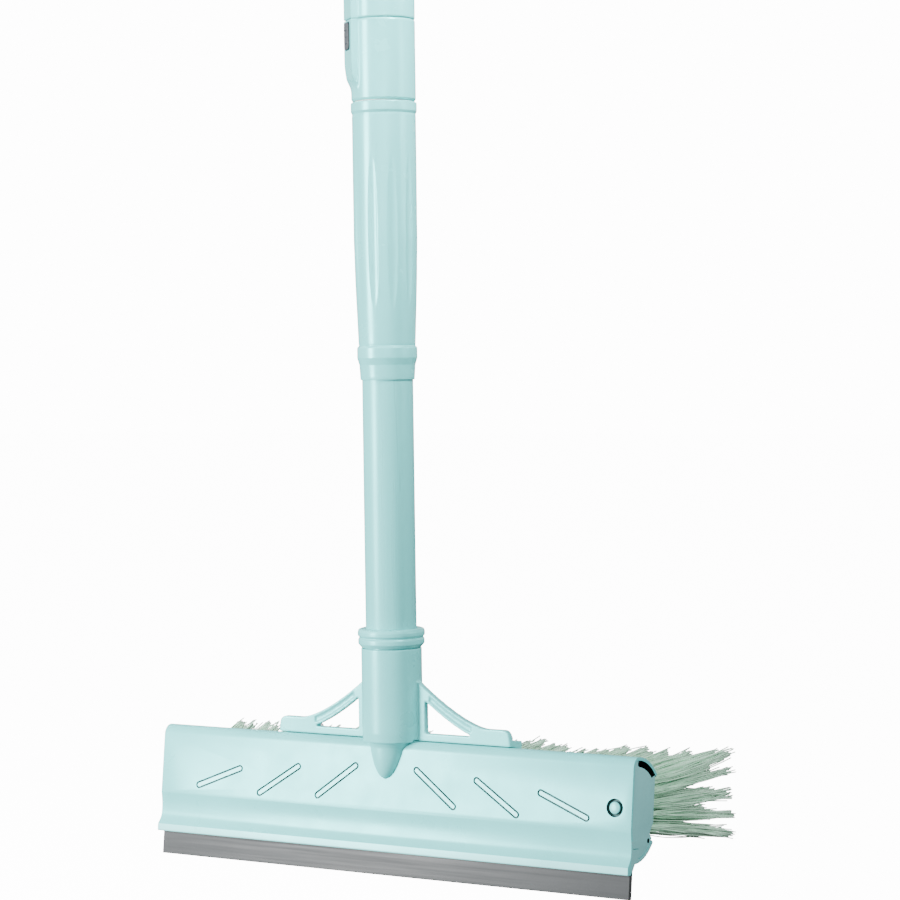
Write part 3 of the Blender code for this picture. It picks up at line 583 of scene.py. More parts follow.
def rubber(name, colour):
    """Extruded rubber: long fine die lines, a dusty bloom and a dull surface."""
    nodes = Nodes(name)
    lines = nodes.noise(700, 3, stretch=(0.02, 1, 1))
    bloom = nodes.ranged(nodes.noise(45, 5), 0.35, 0.7, 0, 1)
    base = nodes.mixed(bloom, shaded(colour, 0.93), shaded(colour, 1.08))
    return nodes.finish({
        "Base Color": nodes.mixed(nodes.ranged(lines, 0.45, 0.65, 0, 0.35), base, shaded(colour, 0.8)),
        "Roughness": nodes.ranged(lines, 0.3, 0.7, 0.42, 0.6),
        "Specular IOR Level": 0.4,
        "Normal": nodes.bumped((lines, 0.00006, 0.5), (nodes.noise(1500, 1), 0.00003, 0.4)),
    })


def steel(name):
    """Drawn steel: a fine bright grain along the wire."""
    nodes = Nodes(name)
    grain = nodes.noise(900, 3, stretch=(1, 1, 0.1))
    return nodes.finish({
        "Base Color": nodes.mixed(grain, (0.52, 0.53, 0.54), (0.66, 0.66, 0.66)),
        "Roughness": nodes.ranged(grain, 0.3, 0.7, 0.22, 0.38),
        "Metallic": 1.0,
        "Normal": nodes.bumped((grain, 0.00002, 0.3)),
    })


def filament(name, root_colour, tip_colour):
    """Bristle filament: darker and greener at its root, a painted shade for the shadow deep among the
    tufts, and each one a little different.
    """
    nodes = Nodes(name)
    depth = nodes.add("ShaderNodeSeparateXYZ", {"Vector": nodes.place}).outputs["Y"]
    along = nodes.ranged(depth, BLOCK_BACK, BRISTLE_TIPS[0], 0, 1)
    random = nodes.add("ShaderNodeNewGeometry").outputs["Random Per Island"]
    varied, graded = nodes.ranged(random, 0, 1, 0, 0.35), nodes.mixed(along, root_colour, tip_colour)
    return nodes.finish({
        "Base Color": nodes.mixed(varied, graded, shaded(root_colour, 0.82)),
        "Roughness": nodes.ranged(nodes.noise(400, 2), 0.3, 0.7, 0.32, 0.5),
        "Specular IOR Level": 0.45,
    })


AQUA = (0.16, 0.64, 0.64)
SHEEN = (0.25, 1.0, 1.0)
AQUA_PLASTIC = plastic("aqua_plastic_finish", AQUA, 0.3, specular=0.9, tint=SHEEN)
AQUA_GLOSS = plastic("aqua_pole_plastic_finish", AQUA, 0.24, specular=0.9, tint=SHEEN)
AQUA_TUBE = painted_tube("aqua_painted_tube_finish", shaded(AQUA, 0.98), 0.9, SHEEN)
# A darker, greyer copy of the aqua plastic: painted shade for the head's ends, which face away from the
# key. The whole brush block wears it, and so do the ends of the shell's web and curl.
AQUA_END_SHADE = plastic("aqua_painted_end_shade_finish", (0.22, 0.58, 0.59), 0.4)
# Paler aqua: painted highlight on the tops of the bars and on the front of the lip.
AQUA_PAINTED_HIGHLIGHT = plastic("aqua_painted_highlight_finish", (0.33, 0.85, 0.85), 0.3, specular=0.9, tint=SHEEN)
# Dark aqua: painted shade in the grooves round the bars, in the peg's hole and on the peg below its dome.
AQUA_PAINTED_GROOVE_SHADE = plastic("aqua_painted_groove_shade_finish", (0.03, 0.10, 0.10), 0.55, specular=0.2)
# Near-black aqua: painted shadow deep in the slot between the roll and the block, and in the small holes
# in the block's ends.
AQUA_PAINTED_SHADOW = plastic("aqua_painted_shadow_finish", (0.004, 0.012, 0.012), 0.8, specular=0.05)
RUBBER = rubber("grey_rubber_finish", (0.038, 0.043, 0.046))
GREY_PLASTIC = plastic("grey_plastic_finish", (0.05, 0.065, 0.075), 0.45, mottle=0.12)
NYLON = plastic("white_nylon_finish", (0.78, 0.78, 0.75), 0.42, mottle=0.03)
STEEL = steel("spring_steel_finish")
# The darker root colour is painted shade among the tufts; the paler tip colour is the filament's own.
BRISTLE = filament("bristle_finish", (0.55, 0.98, 0.71), (0.74, 1.0, 0.84))


# The head

def shell_outline():
    """The shell's section: a roll over the top, the flat face, a cove down to the lip, the blade's slot
    and a curl under the block."""
    roll = (ROLL_DEPTH, SHELL_TOP - ROLL_RADIUS)
    corner = SHELL_TOP - FACE_TOP
    inner_curl = CURL_RADIUS - SHELL_WALL
    slot_front = BLADE_FRONT - GAP
    slot_back = BLADE_FRONT + BLADE_THICK + GAP
    slot_top = BLADE_TOP + GAP
    heel_back = BLADE_HEEL_DEPTH + GAP
    heel_foot = BLADE_HEEL_HEIGHT - GAP
    rib_back = heel_back + RIB_THICK
    lip_middle = (LIP_DEPTH + LIP_ROUND, LIP_HEIGHT - LIP_ROUND / 2)
    lip_foot = LIP_HEIGHT - 0.0011
    curl_start = -math.degrees(math.acos((slot_back - CURL[0]) / CURL_RADIUS))
    inner_start = -math.degrees(math.acos((rib_back - CURL[0]) / inner_curl))
    points = arc(roll, ROLL_RADIUS, ROLL_END_ANGLE, 90, 26)
    points += arc((corner, FACE_TOP), corner, 90, 180, 20)
    points += cove((0, FACE_BOTTOM), (LIP_DEPTH, LIP_HEIGHT + LIP_LAND), COVE_SAG, COVE_DEEPEST, 34)
    points += arc(lip_middle, LIP_ROUND, 180, 250, 5)
    points += [(slot_front, lip_foot), (slot_front, slot_top), (heel_back, slot_top)]
    points += [(heel_back, heel_foot), (slot_back, heel_foot)]
    points += arc(CURL, CURL_RADIUS, curl_start, CURL_END_ANGLE, 24)
    points += arc(CURL, inner_curl, CURL_END_ANGLE, inner_start, 20)
    points += [(rib_back, SLOT_ROOF), (SLOT_ROOF_FRONT, SLOT_ROOF)]
    points += [THICK_WALL_TOP, (SHELL_WALL, FACE_BOTTOM)]
    points += arc((corner, FACE_TOP), corner - SHELL_WALL, 180, 90, 14)
    points += arc(roll, ROLL_RADIUS - SHELL_WALL, 90, ROLL_END_ANGLE, 22)
    return points


def end_web_outline():
    """The thin web that closes the blade's slot at each end of the shell."""
    cover = 0.0008
    front, back, top = BLADE_FRONT - cover, BLADE_HEEL_DEPTH + cover, BLADE_TOP + cover
    lip = LIP_HEIGHT - 0.0001
    points = [(front, lip), (front + 0.0014, lip), (0.0064, 0.0172), (back, BLADE_HEEL_HEIGHT)]
    return points + [(back, top), (front, top)]


def stadium(length, width, steps):
    """A bar's outline with round ends, about its middle."""
    half, radius = (length - width) / 2, width / 2
    return arc((half, 0), radius, -90, 90, steps) + arc((-half, 0), radius, 90, 270, steps)


def groove_cutter(name, x, height, slope):
    """The narrow groove round a bar, with soft lower edges: it leaves the bar level with the face."""
    inner_length, inner_width = BAR_LENGTH - 2 * GROOVE_WIDTH, BAR_WIDTH - 2 * GROOVE_WIDTH
    outlines = [stadium(BAR_LENGTH, BAR_WIDTH, 20), stadium(inner_length, inner_width, 20)]
    place = in_head(x, 0, height) @ turned(slope, "Y") @ upright_place()
    return plate(name, outlines, 2 * GROOVE_DEPTH, place, bevel=0.00015, bevel_angle=60)


def nose_profile(grow=0.0):
    """The nose's radius against its height: a parabola from its tip, then a flare out to the socket."""
    flare_top = NOSE_TOP - NOSE_TIP
    points = [(0, -grow)]
    for t in np.linspace(0, 1, 19)[1:]:
        points.append((NOSE_RADIUS * math.sqrt(t) + grow, NOSE_PARABOLA * t))
    for t in np.linspace(0, 1, 13)[1:]:
        radius = NOSE_RADIUS + (NOSE_FLARE_RADIUS - NOSE_RADIUS) * math.sin(t * math.pi / 2)
        points.append((radius + grow, NOSE_PARABOLA + (flare_top - NOSE_PARABOLA) * t))
    return list(reversed(points + [(0, flare_top)]))


def nose(name, grow=0.0):
    """The pointed nose below the socket: turned, then leaned so that its tip meets the flat face."""
    obj = lathe(name, nose_profile(grow), Matrix.Identity(4), sides=72, closed=False)
    top = NOSE_TOP - NOSE_TIP
    axis_y = (POLE_Y - NOSE_TOP * math.sin(HEAD_PITCH)) / math.cos(HEAD_PITCH)
    lean = (axis_y - FACE_Y) / top
    for vertex in obj.data.vertices:
        vertex.co.y += FACE_Y + lean * vertex.co.z
        vertex.co.z += NOSE_TIP
    obj.matrix_world = HEAD
    return obj


def in_slot(facet):
    """Whether a face lines the long slot between the roll and the block, or the small hole in its end."""
    depth, height = facet.centre.y - FACE_Y, facet.centre.z
    from_roll = math.hypot(depth - ROLL_DEPTH, height - (SHELL_TOP - ROLL_RADIUS))
    slot_floor = BLOCK_TOP - SHELL_TOP + ROLL_RADIUS
    lining = slot_floor - 2 * NEAR < from_roll < ROLL_RADIUS - SHELL_WALL + NEAR
    roll_side = lining and height > 0.05 and depth > END_SLOT_FRONT - 0.001
    from_hole = math.hypot(depth - END_HOLE[0], height - END_HOLE[1])
    in_hole = from_hole < END_HOLE_RADIUS * 1.05 and abs(facet.centre.x) < HEAD_LENGTH / 2 - 0.0005
    return in_hole or roll_side and abs(facet.normal.x) < 0.97


def in_groove(facet):
    """Whether a face lies in one of the grooves round the bars, or lines the peg's hole."""
    depth, x, height = facet.centre.y - FACE_Y, facet.centre.x, facet.centre.z
    beyond_nose = 0.012 < abs(x) < BARS[-1][0] + BAR_LENGTH / 2
    on_face = FACE_BOTTOM < height < FACE_TOP - 0.004
    round_bar = depth < GROOVE_DEPTH + NEAR / 2 and beyond_nose and on_face
    from_peg = math.hypot(x - PEG[0], height - PEG[1])
    in_hole = from_peg < PEG_HOLE_RADIUS * 1.01 and abs(facet.normal.y) < 0.5
    return depth > NEAR / 5 and (round_bar or in_hole)


def low_end(facet):
    """Whether a face is the end of the shell's web or curl."""
    beside_curl = facet.centre.z < THICK_WALL_TOP[1] + 0.001 and facet.centre.y > FACE_Y + 0.002
    return abs(facet.normal.x) > 0.9 and beside_curl


def on_lip(facet):
    """Whether a face is on the front of the lip above the blade."""
    depth, height = facet.centre.y - FACE_Y, facet.centre.z
    return depth < 0.7 * LIP_DEPTH and height < LIP_HEIGHT + LIP_LAND + NEAR and facet.normal.y < -0.5


def bar_top(facet):
    """Whether a face is the top of one of the embossed bars."""
    if abs(facet.centre.y - FACE_Y) > NEAR / 10 or facet.area > BAR_LENGTH * BAR_WIDTH:
        return False
    for x, height, slope in BARS:
        turn = math.radians(slope)
        off_x, off_z = abs(facet.centre.x) - x, facet.centre.z - height
        along = off_x * math.cos(turn) - off_z * math.sin(turn)
        across = off_x * math.sin(turn) + off_z * math.cos(turn)
        if abs(along) < BAR_LENGTH / 2 and abs(across) < BAR_WIDTH / 2 - GROOVE_WIDTH:
            return True
    return False


def peg_side(facet):
    """Whether a face of the peg is below its dome."""
    return facet.centre.y > FACE_Y + 2 * NEAR


def make_shell():
    shell = plate("shell", [shell_outline()], HEAD_LENGTH, section_place(), bevel=0.00075, bevel_angle=60)
    webs, cutters = [], []
    for side in (-1, 1):
        place = section_place(side * (HEAD_LENGTH - END_WEB) / 2)
        webs.append(plate(f"web_{side}", [end_web_outline()], END_WEB, place))
    combined(shell, webs, "UNION")
    for side in (-1, 1):
        for number, (x, height, slope) in enumerate(BARS, 1):
            cutters.append(groove_cutter(f"groove_{number}_{side}", side * x, height, side * slope))
    notch = nose("notch", grow=GAP)
    behind = block("notch_back", (-0.03, FACE_Y + SHELL_WALL + GAP, 0.03), (0.03, 0.05, 0.08), HEAD)
    cutters.append(combined(notch, [behind], "DIFFERENCE"))
    cutters.append(rod("peg_hole", PEG_HOLE_RADIUS, -0.004, 0.004, peg_place(), sides=64))
    for x in SCREW_XS:
        cutters.append(rod(f"hole_{x}", SCREW_HOLE_RADIUS, -0.005, 0.003, screw_place(x), sides=24))
    combined(shell, cutters, "DIFFERENCE")
    finished(shell, "front_shell", AQUA_PLASTIC, 30)
    # The slot's lining and the small end hole take painted shadow.
    repaint(shell, AQUA_PAINTED_SHADOW, in_slot)
    # The grooves round the bars and the peg's hole take painted shade.
    repaint(shell, AQUA_PAINTED_GROOVE_SHADE, in_groove)
    # The tops of the bars and the front of the lip take painted highlight.
    repaint(shell, AQUA_PAINTED_HIGHLIGHT, bar_top)
    repaint(shell, AQUA_PAINTED_HIGHLIGHT, on_lip)
    # The ends of the shell's web and curl take the painted end shade.
    repaint(shell, AQUA_END_SHADE, low_end)


def block_outline():
    """The brush block's section. It fills the shell but for a slot that follows the roll's inner side,
    and a step at the bottom leads into the shell's curl."""
    front = SHELL_WALL + GAP
    inner_curl = CURL_RADIUS - SHELL_WALL - GAP
    rib_back = BLADE_HEEL_DEPTH + GAP + RIB_THICK + GAP
    floor_start = -math.degrees(math.acos((rib_back - CURL[0]) / inner_curl))
    corner = SHELL_TOP - FACE_TOP
    roll = (ROLL_DEPTH, SHELL_TOP - ROLL_RADIUS)
    roll_clear = ROLL_RADIUS - SHELL_WALL - GAP
    slot_round = (SHELL_TOP - SHELL_WALL - GAP - BLOCK_TOP) / 2
    back_angle = math.degrees(math.acos((BLOCK_BACK - ROLL_DEPTH) / roll_clear))
    points = arc((corner, FACE_TOP), corner - front, 180, 90, 12)
    points += arc((END_SLOT_FRONT + slot_round, BLOCK_TOP + slot_round), slot_round, 90, 270, 16)
    points += arc(roll, BLOCK_TOP - roll[1], 87, END_SLOT_ANGLE, 24)
    points += arc(roll, roll_clear, END_SLOT_ANGLE - 3, back_angle, 3)
    points += [(BLOCK_BACK, BLOCK_STEP_HEIGHT), BLOCK_STEP_FOOT, BLOCK_CURL_START]
    points += arc(CURL, inner_curl, CURL_END_ANGLE + 2, floor_start, 18)
    points += [(rib_back, SLOT_ROOF + GAP), (SLOT_ROOF_FRONT + GAP, SLOT_ROOF + GAP)]
    wall_back, wall_top = THICK_WALL_TOP
    return points + [(wall_back + 0.0004, wall_top + 0.0005), (front, FACE_BOTTOM)]


def make_block():
    end, outlines = HEAD_LENGTH / 2, [block_outline()]
    body = plate("block", outlines, 2 * (end - GAP), section_place(), bevel=0.0003, bevel_angle=50)
    cutters = [rod("peg_pocket", PEG_POCKET_RADIUS, -0.014, 0.004, peg_place(), sides=48)]
    for side in (-1, 1):
        place = in_head(0, *END_HOLE) @ turned(90 * side, "Y")
        hole = rod(f"end_hole_{side}", END_HOLE_RADIUS, end - END_HOLE_DEEP, end + 0.002, place, sides=32)
        cutters.append(hole)
    combined(body, cutters, "DIFFERENCE")
    # The block wears the darker copy of the aqua: painted shade on its ends.
    finished(body, "brush_block", AQUA_END_SHADE, 35)
    # The block's side of the slot and its end holes take painted shadow.
    repaint(body, AQUA_PAINTED_SHADOW, in_slot)


def make_blade():
    back, fine = BLADE_FRONT + BLADE_THICK, 0.0003
    corners = [(BLADE_FRONT, 0, 0.0005), (back, 0, 0.0002), (back, BLADE_HEEL_HEIGHT, fine)]
    corners += [(BLADE_HEEL_DEPTH, BLADE_HEEL_HEIGHT, fine), (BLADE_HEEL_DEPTH, BLADE_TOP, fine)]
    corners += [(BLADE_FRONT, BLADE_TOP, fine)]
    low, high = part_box("rubber_blade")
    length = high.x - low.x
    blade = plate("blade", [softened(corners)], length, section_place(), bevel=0.0002, bevel_angle=60)
    finished(blade, "rubber_blade", RUBBER)


def make_peg():
    """The peg: a low dome in its hole, its flange behind the shell, and its stem."""
    shoulder = -(SHELL_WALL + GAP)
    corners = [(0, PEG_PROUD), (0.0012, PEG_PROUD - 0.00002, 0.0008), (PEG_RADIUS, 0.0001, 0.0012)]
    corners += [(PEG_RADIUS, shoulder, 0.0001), (PEG_FLANGE, shoulder, 0.0002)]
    corners += [(PEG_FLANGE, PEG_FLANGE_BACK, 0.0003), (PEG_STEM, PEG_FLANGE_BACK, 0.0003)]
    corners += [(PEG_STEM, PEG_END, 0.0004), (0, PEG_END)]
    peg = lathe("peg", softened(corners, closed=False, steps=6), peg_place(), sides=72, closed=False)
    finished(peg, "snap_peg", AQUA_PLASTIC)
    # The peg below its dome, seen through its hole, takes painted shade.
    repaint(peg, AQUA_PAINTED_GROOVE_SHADE, peg_side)


# The brush's filaments

def filament_mesh(name, centres, radius, sides=3):
    """One mesh of many round filaments, whose centre lines are (filaments, stations, 3)."""
    count, stations, _ = centres.shape
    along = np.gradient(centres, axis=1)
    along /= np.linalg.norm(along, axis=2, keepdims=True)
    across = np.cross(along, np.array((1.0, 0, 0)))
    across /= np.linalg.norm(across, axis=2, keepdims=True)
    other = np.cross(along, across)
    angles = np.arange(sides) * 2 * math.pi / sides
    ring = across[:, :, None] * np.cos(angles)[:, None] + other[:, :, None] * np.sin(angles)[:, None]
    points = centres[:, :, None] + ring * radius
    tips = centres[:, -1] + along[:, -1] * radius * 0.4
    first = np.arange(count)[:, None, None] * stations * sides
    station = np.arange(stations - 1)[None, :, None] * sides
    side = np.arange(sides)[None, None, :]
    following = (side + 1) % sides
    low = first + station
    high = low + sides
    quads = np.stack([low + side, low + following, high + following, high + side], axis=-1)
    last = first[:, 0] + (stations - 1) * sides
    tip_index = count * stations * sides + np.arange(count)[:, None]
    fans = np.stack([last + side[0], last + following[0], tip_index + 0 * side[0]], axis=-1)
    roots = np.stack([first[:, 0, 0] + i for i in reversed(range(sides))], axis=-1)
    mesh = bpy.data.meshes.new(name)
    vertices = np.concatenate([points.reshape(-1, 3), tips])
    faces = quads.reshape(-1, 4).tolist() + fans.reshape(-1, 3).tolist() + roots.tolist()
    mesh.from_pydata(vertices.tolist(), [], faces)
    mesh.shade_smooth()
    mesh.update()
    return mesh


def make_bristles(number):
    """One row of tufts. Each tuft's crimped filaments start in one hole, spread, and end raggedly."""
    random = np.random.default_rng(40 + number)
    along = np.linspace(0, 1, STATIONS)
    root_height = FIRST_ROW + (number - 1) * ROW_PITCH
    tip_height = FIRST_TIP_ROW + (number - 1) * TIP_PITCH
    end_height = END_TIP_HEIGHTS[number - 1]
    root_depth = BLOCK_BACK - 0.001
    strands = []
    for tuft in range(TUFTS):
        share = 2 * tuft / (TUFTS - 1) - 1
        outward = abs(share) ** 6 * math.copysign(1, share)
        towards_end = smoothstep((abs(share) - 0.8) / 0.18)
        middle = np.array((share * TIP_HALF, tip_height + (end_height - tip_height) * towards_end))
        loose = 1 - 0.2 * towards_end
        lean = random.normal(0, (0.0013 * loose, 0.0010 * loose))
        clump_points = random.normal(0, (0.0014, 0.0013 * loose), (CLUMPS, 2))
        tuft_length = 1 - abs(random.normal(0, 0.02))
        for strand in range(FILAMENTS):
            angle = random.uniform(0, 2 * math.pi)
            radius = TUFT_RADIUS * math.sqrt(random.uniform(0, 1))
            root = np.array((share * ROOT_HALF, root_height))
            root += (radius * math.cos(angle), radius * math.sin(angle))
            tip = middle + lean + clump_points[strand % CLUMPS] + random.normal(0, 0.0009, 2)
            tip[0] += outward * random.uniform(0, 0.002)
            t = along * (tuft_length - abs(random.normal(0, 0.03)))
            bend = random.normal(0, 0.0012, 2)
            phase, crimp = random.uniform(0, 2 * math.pi, 2), random.uniform(0.00012, 0.0003)
            waves = np.sin(2 * math.pi * CRIMPS * t[:, None] + phase[None])
            line = root[None] + (tip - root)[None] * (t**1.35)[:, None]
            line += bend[None] * np.sin(t * math.pi)[:, None]
            line += crimp * waves * np.minimum(t * 6, 1)[:, None]
            depth = root_depth + (BRISTLE_TIPS[number - 1] - root_depth) * t
            strands.append(np.stack([line[:, 0], FACE_Y + depth, line[:, 1]], axis=1))
    mesh = filament_mesh(f"bristles_{number}", np.array(strands), FILAMENT_RADIUS)
    mesh.materials.append(BRISTLE)
    mesh.transform(HEAD)
    stands_for(linked(mesh.name, mesh), f"bristle_row_{number}")


# The bracket

def arm_top(x):
    """Height of the gusset's upper edge, this far from the pole's axis: it sweeps down to a flat pad."""
    t = max(PAD_START - x, 0) / (PAD_START - ARM_INNER)
    return PAD_TOP + ARM_RISE * t**ARM_POWER


def gusset_outline():
    right = [(GUSSET_HALF, 0.060)]
    right += arc((GUSSET_HALF - PAD_CORNER, PAD_TOP - PAD_CORNER), PAD_CORNER, 0, 90, 16)
    right += [(x, arm_top(x)) for x in np.linspace(PAD_START, 0.012, 40)]
    left = [(-x, z) for x, z in reversed(right)]
    return right + left


def under_arm(side, inner, floor, below, soft):
    """A three-cornered outline on one side: a level floor, an upright by the socket, and a slope that
    keeps this far below the arm's upper edge."""
    rise = (floor + below - PAD_TOP) / ARM_RISE
    outer = PAD_START - (PAD_START - ARM_INNER) * rise ** (1 / ARM_POWER)
    upper = [(side * x, arm_top(x) - below) for x in np.linspace(inner, outer, 24)]
    upper[-1] = (*upper[-1], soft)
    upper[0] = (*upper[0], soft)
    return softened([(side * inner, floor, soft)] + upper)


def arm_recess(side):
    """The shallow hollow between the two raised rims of one arm."""
    xs = np.linspace(ARM_INNER + 0.0029, PAD_START - 0.0085, 24)
    upper = [(side * x, arm_top(x) - RIM_WIDTH) for x in xs]
    lower = [(side * x, arm_top(x) - ARM_WIDTH + RIM_WIDTH) for x in reversed(xs)]
    return upper + lower


def head_room_outline():
    """The shell's upper side with its clearance, which the bracket's foot is shaped to."""
    low, back = 0.03, 0.03
    top = SHELL_TOP + GAP
    points = [(back, low), (SHELL_WALL, low), (SHELL_WALL, top)]
    points += arc((ROLL_DEPTH, SHELL_TOP - ROLL_RADIUS), ROLL_RADIUS + GAP, 90, 50, 30)
    return points + [(back, 0.05)]


def make_bracket():
    body = nose("bracket")
    socket_foot = NOSE_TOP - 0.0055
    socket = [(0, SOCKET_TOP), (SOCKET_RADIUS, SOCKET_TOP), (SOCKET_RADIUS, NOSE_TOP - 0.001)]
    socket += [(NOSE_FLARE_RADIUS, socket_foot), (0, socket_foot)]
    windows = [under_arm(side, WINDOW_INNER, WINDOW_FLOOR, ARM_WIDTH, 0.0012) for side in (1, -1)]
    foot_low = (-FOOT_HALF, FACE_Y + FOOT_FRONT, SHELL_TOP - 0.002)
    foot_high = (FOOT_HALF, FACE_Y + FOOT_BACK, SHELL_TOP + GAP + FOOT_THICK)
    added = [lathe("socket", socket, closed=False), block("foot", foot_low, foot_high, HEAD)]
    gusset_place = POLE @ upright_place(GUSSET_Y)
    added.append(plate("gusset", [gusset_outline(), *windows], GUSSET_THICK, gusset_place))
    combined(body, added, "UNION")
    removed = [plate("head_room", [head_room_outline()], 0.16, section_place())]
    removed.append(rod("socket_bore", SOCKET_BORE, SOCKET_FLOOR, SOCKET_TOP + 0.01, sides=96))
    front = POLE @ upright_place(GUSSET_Y - GUSSET_THICK / 2)
    for side in (1, -1):
        removed.append(plate(f"recess_{side}", [arm_recess(side)], 2 * RECESS_DEPTH, front))
    combined(body, removed, "DIFFERENCE")
    moulded(body, 0.00035, 4)
    finished(body, "handle_bracket", AQUA_PLASTIC, 60)


def make_screws():
    """Pan-head screws with a cross recess."""
    seat = GAP + FOOT_THICK + GAP
    bottom = BLOCK_TOP - SHELL_TOP - SCREW_LENGTH
    shank, cross_half, cross_wide = 0.0012, 0.0012, 0.00028
    dome = [(0, seat + 0.0017), (0.0013, seat + 0.0016, 0.0006), (0.0022, seat + 0.0011, 0.0006)]
    dome += [(0.0024, seat, 0.0001), (shank, seat)]
    profile = softened(dome, closed=False) + [(shank, bottom + 0.0015), (0, bottom)]
    for number, x in enumerate(SCREW_XS, 1):
        place = screw_place(x)
        screw = lathe(f"screw_{number}", profile, place, sides=40, closed=False)
        slots = []
        for quarter in range(2):
            turn = Matrix.Rotation(0.7 * number + math.radians(90 * quarter), 4, "Z")
            low, high = (-cross_half, -cross_wide, seat + 0.0007), (cross_half, cross_wide, 0.01)
            slots.append(block(f"cross_{quarter}", low, high, place @ turn))
        combined(screw, slots, "DIFFERENCE")
        finished(screw, f"foot_screw_{number}", STEEL)


# The pole

def ends(box):
    """The lowest and highest points of a node's box."""
    return [corner.z for corner in box]


def make_ferrule():
    low, high = ends(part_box("pole_ferrule"))
    bead, low_bead, neck, rim = 0.0163, 0.0161, 0.0154, SOCKET_TOP + 0.0005
    bore, spigot = 0.0126, SOCKET_BORE - GAP
    corners = [(0.0147, high, 0.0004), (0.0159, high - 0.0004, 0.0006), (bead, 0.1174, 0.0010)]
    corners += [(bead, 0.1157, 0.0010), (neck, 0.1147, 0.0005), (low_bead, 0.1138, 0.0010)]
    corners += [(low_bead, 0.1117, 0.0010), (0.0150, rim + 0.0004, 0.0004), (0.0146, rim, 0.0001)]
    corners += [(spigot, rim), (spigot, low + 0.001, 0.0003)]
    corners += [(spigot - 0.0003, low, 0.0002), (bore, low), (bore, high, 0.0002)]
    finished(lathe("ferrule", softened(corners, steps=7)), "pole_ferrule", AQUA_PLASTIC)


def make_tube(name, node, outer, bore, edge=0.0003):
    low, high = ends(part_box(node))
    corners = [(outer, high, edge), (outer, low, edge), (bore, low, edge), (bore, high, edge)]
    finished(lathe(name, softened(corners)), node, AQUA_TUBE)


def fluted(radius, height, angle):
    """The sleeve's surface, where slim ellipsoids dip into it and fade out at both ends."""
    belly, wide, reach = 0.0030, 0.0042, FLUTE_LENGTH / 2
    offset = height - FLUTE_MIDDLE
    in_bore = radius < SLEEVE_RADIUS - 0.0008 and height > 0.30 or radius < 0.0132
    if abs(offset) >= reach or in_bore:
        return radius
    scale = math.sqrt(1 - (offset / reach) ** 2)
    below = max(TAPER_TOP - height, 0)
    centre = SLEEVE_RADIUS + belly - FLUTE_DEPTH - TAPER_SLOPE * below
    pitch = 2 * math.pi / FLUTES
    turn = ((angle - FLUTE_TURN) / pitch + 0.5) % 1 - 0.5
    phi = turn * pitch
    a, b = belly * scale, wide * scale
    p = math.cos(phi) ** 2 / a**2 + math.sin(phi) ** 2 / b**2
    q = -2 * centre * math.cos(phi) / a**2
    r = centre**2 / a**2 - 1
    inside = q * q - 4 * p * r
    if inside <= 0:
        return radius
    return min(radius, (-q - math.sqrt(inside)) / (2 * p))


def make_sleeve():
    low, high = ends(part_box("twist_sleeve"))
    top_ring, low_ring, foot_bore = 0.0159, 0.01455, 0.0127
    corners = [(0.0152, high, 0.0003), (top_ring, high - 0.0004, 0.0008)]
    corners += [(top_ring, high - 0.0045, 0.0010), (0.01525, high - 0.0057, 0.0006)]
    corners += [(SLEEVE_RADIUS, high - 0.007, 0.001)]
    corners += [(SLEEVE_RADIUS, z) for z in np.linspace(high - 0.0085, TAPER_TOP + 0.002, 56)]
    taper_heights, taper_radii = zip(*SLEEVE_TAPER)
    for z in np.linspace(taper_heights[-1], taper_heights[0], 46):
        corners.append((np.interp(z, taper_heights, taper_radii), z))
    corners += [(0.0136, 0.2554, 0.0004), (low_ring, 0.2545, 0.0010), (low_ring, 0.2495, 0.0010)]
    corners += [(0.01355, 0.2462, 0.0008), (0.0132, 0.2405, 0.0012), (0.01305, low, 0.0002)]
    corners += [(foot_bore, low), (foot_bore, 0.256), (SLEEVE_BORE, 0.300), (SLEEVE_BORE, high)]
    sleeve = lathe("sleeve", softened(corners), sides=240, reach=fluted)
    finished(sleeve, "twist_sleeve", AQUA_GLOSS, 50)


def bossed(low_ramp, high_ramp):
    """The radius of a collar with the button's boss on its side, which ramps down between two heights."""
    skin, crown_most, shoulder, nearly_flat = 0.0006, 0.0012, 0.0016, 0.3

    def reach(radius, height, angle):
        if radius < COUPLING_RADIUS - skin:
            return radius
        phi = (angle - BUTTON_ANGLE + math.pi) % (2 * math.pi) - math.pi
        if abs(phi) > 1.2:
            return radius
        rise = BOSS_RADIUS - COUPLING_RADIUS
        if low_ramp:
            rise *= smoothstep((height - low_ramp[0]) / (low_ramp[1] - low_ramp[0]))
        if high_ramp:
            rise *= smoothstep((high_ramp[1] - height) / (high_ramp[1] - high_ramp[0]))
        across = abs(radius * math.sin(phi))
        side = 1 - smoothstep((across - BOSS_HALF_WIDE + 0.0014) / shoulder)
        crown = (radius + rise) / max(math.cos(phi), nearly_flat)
        crown = min(crown, radius + rise + crown_most)
        return max(radius, radius + (crown - radius) * side * smoothstep(rise / crown_most))
    return reach


def ring_heights(low, high, step=0.0006):
    return [z for z in np.arange(high - step, low, -step)]


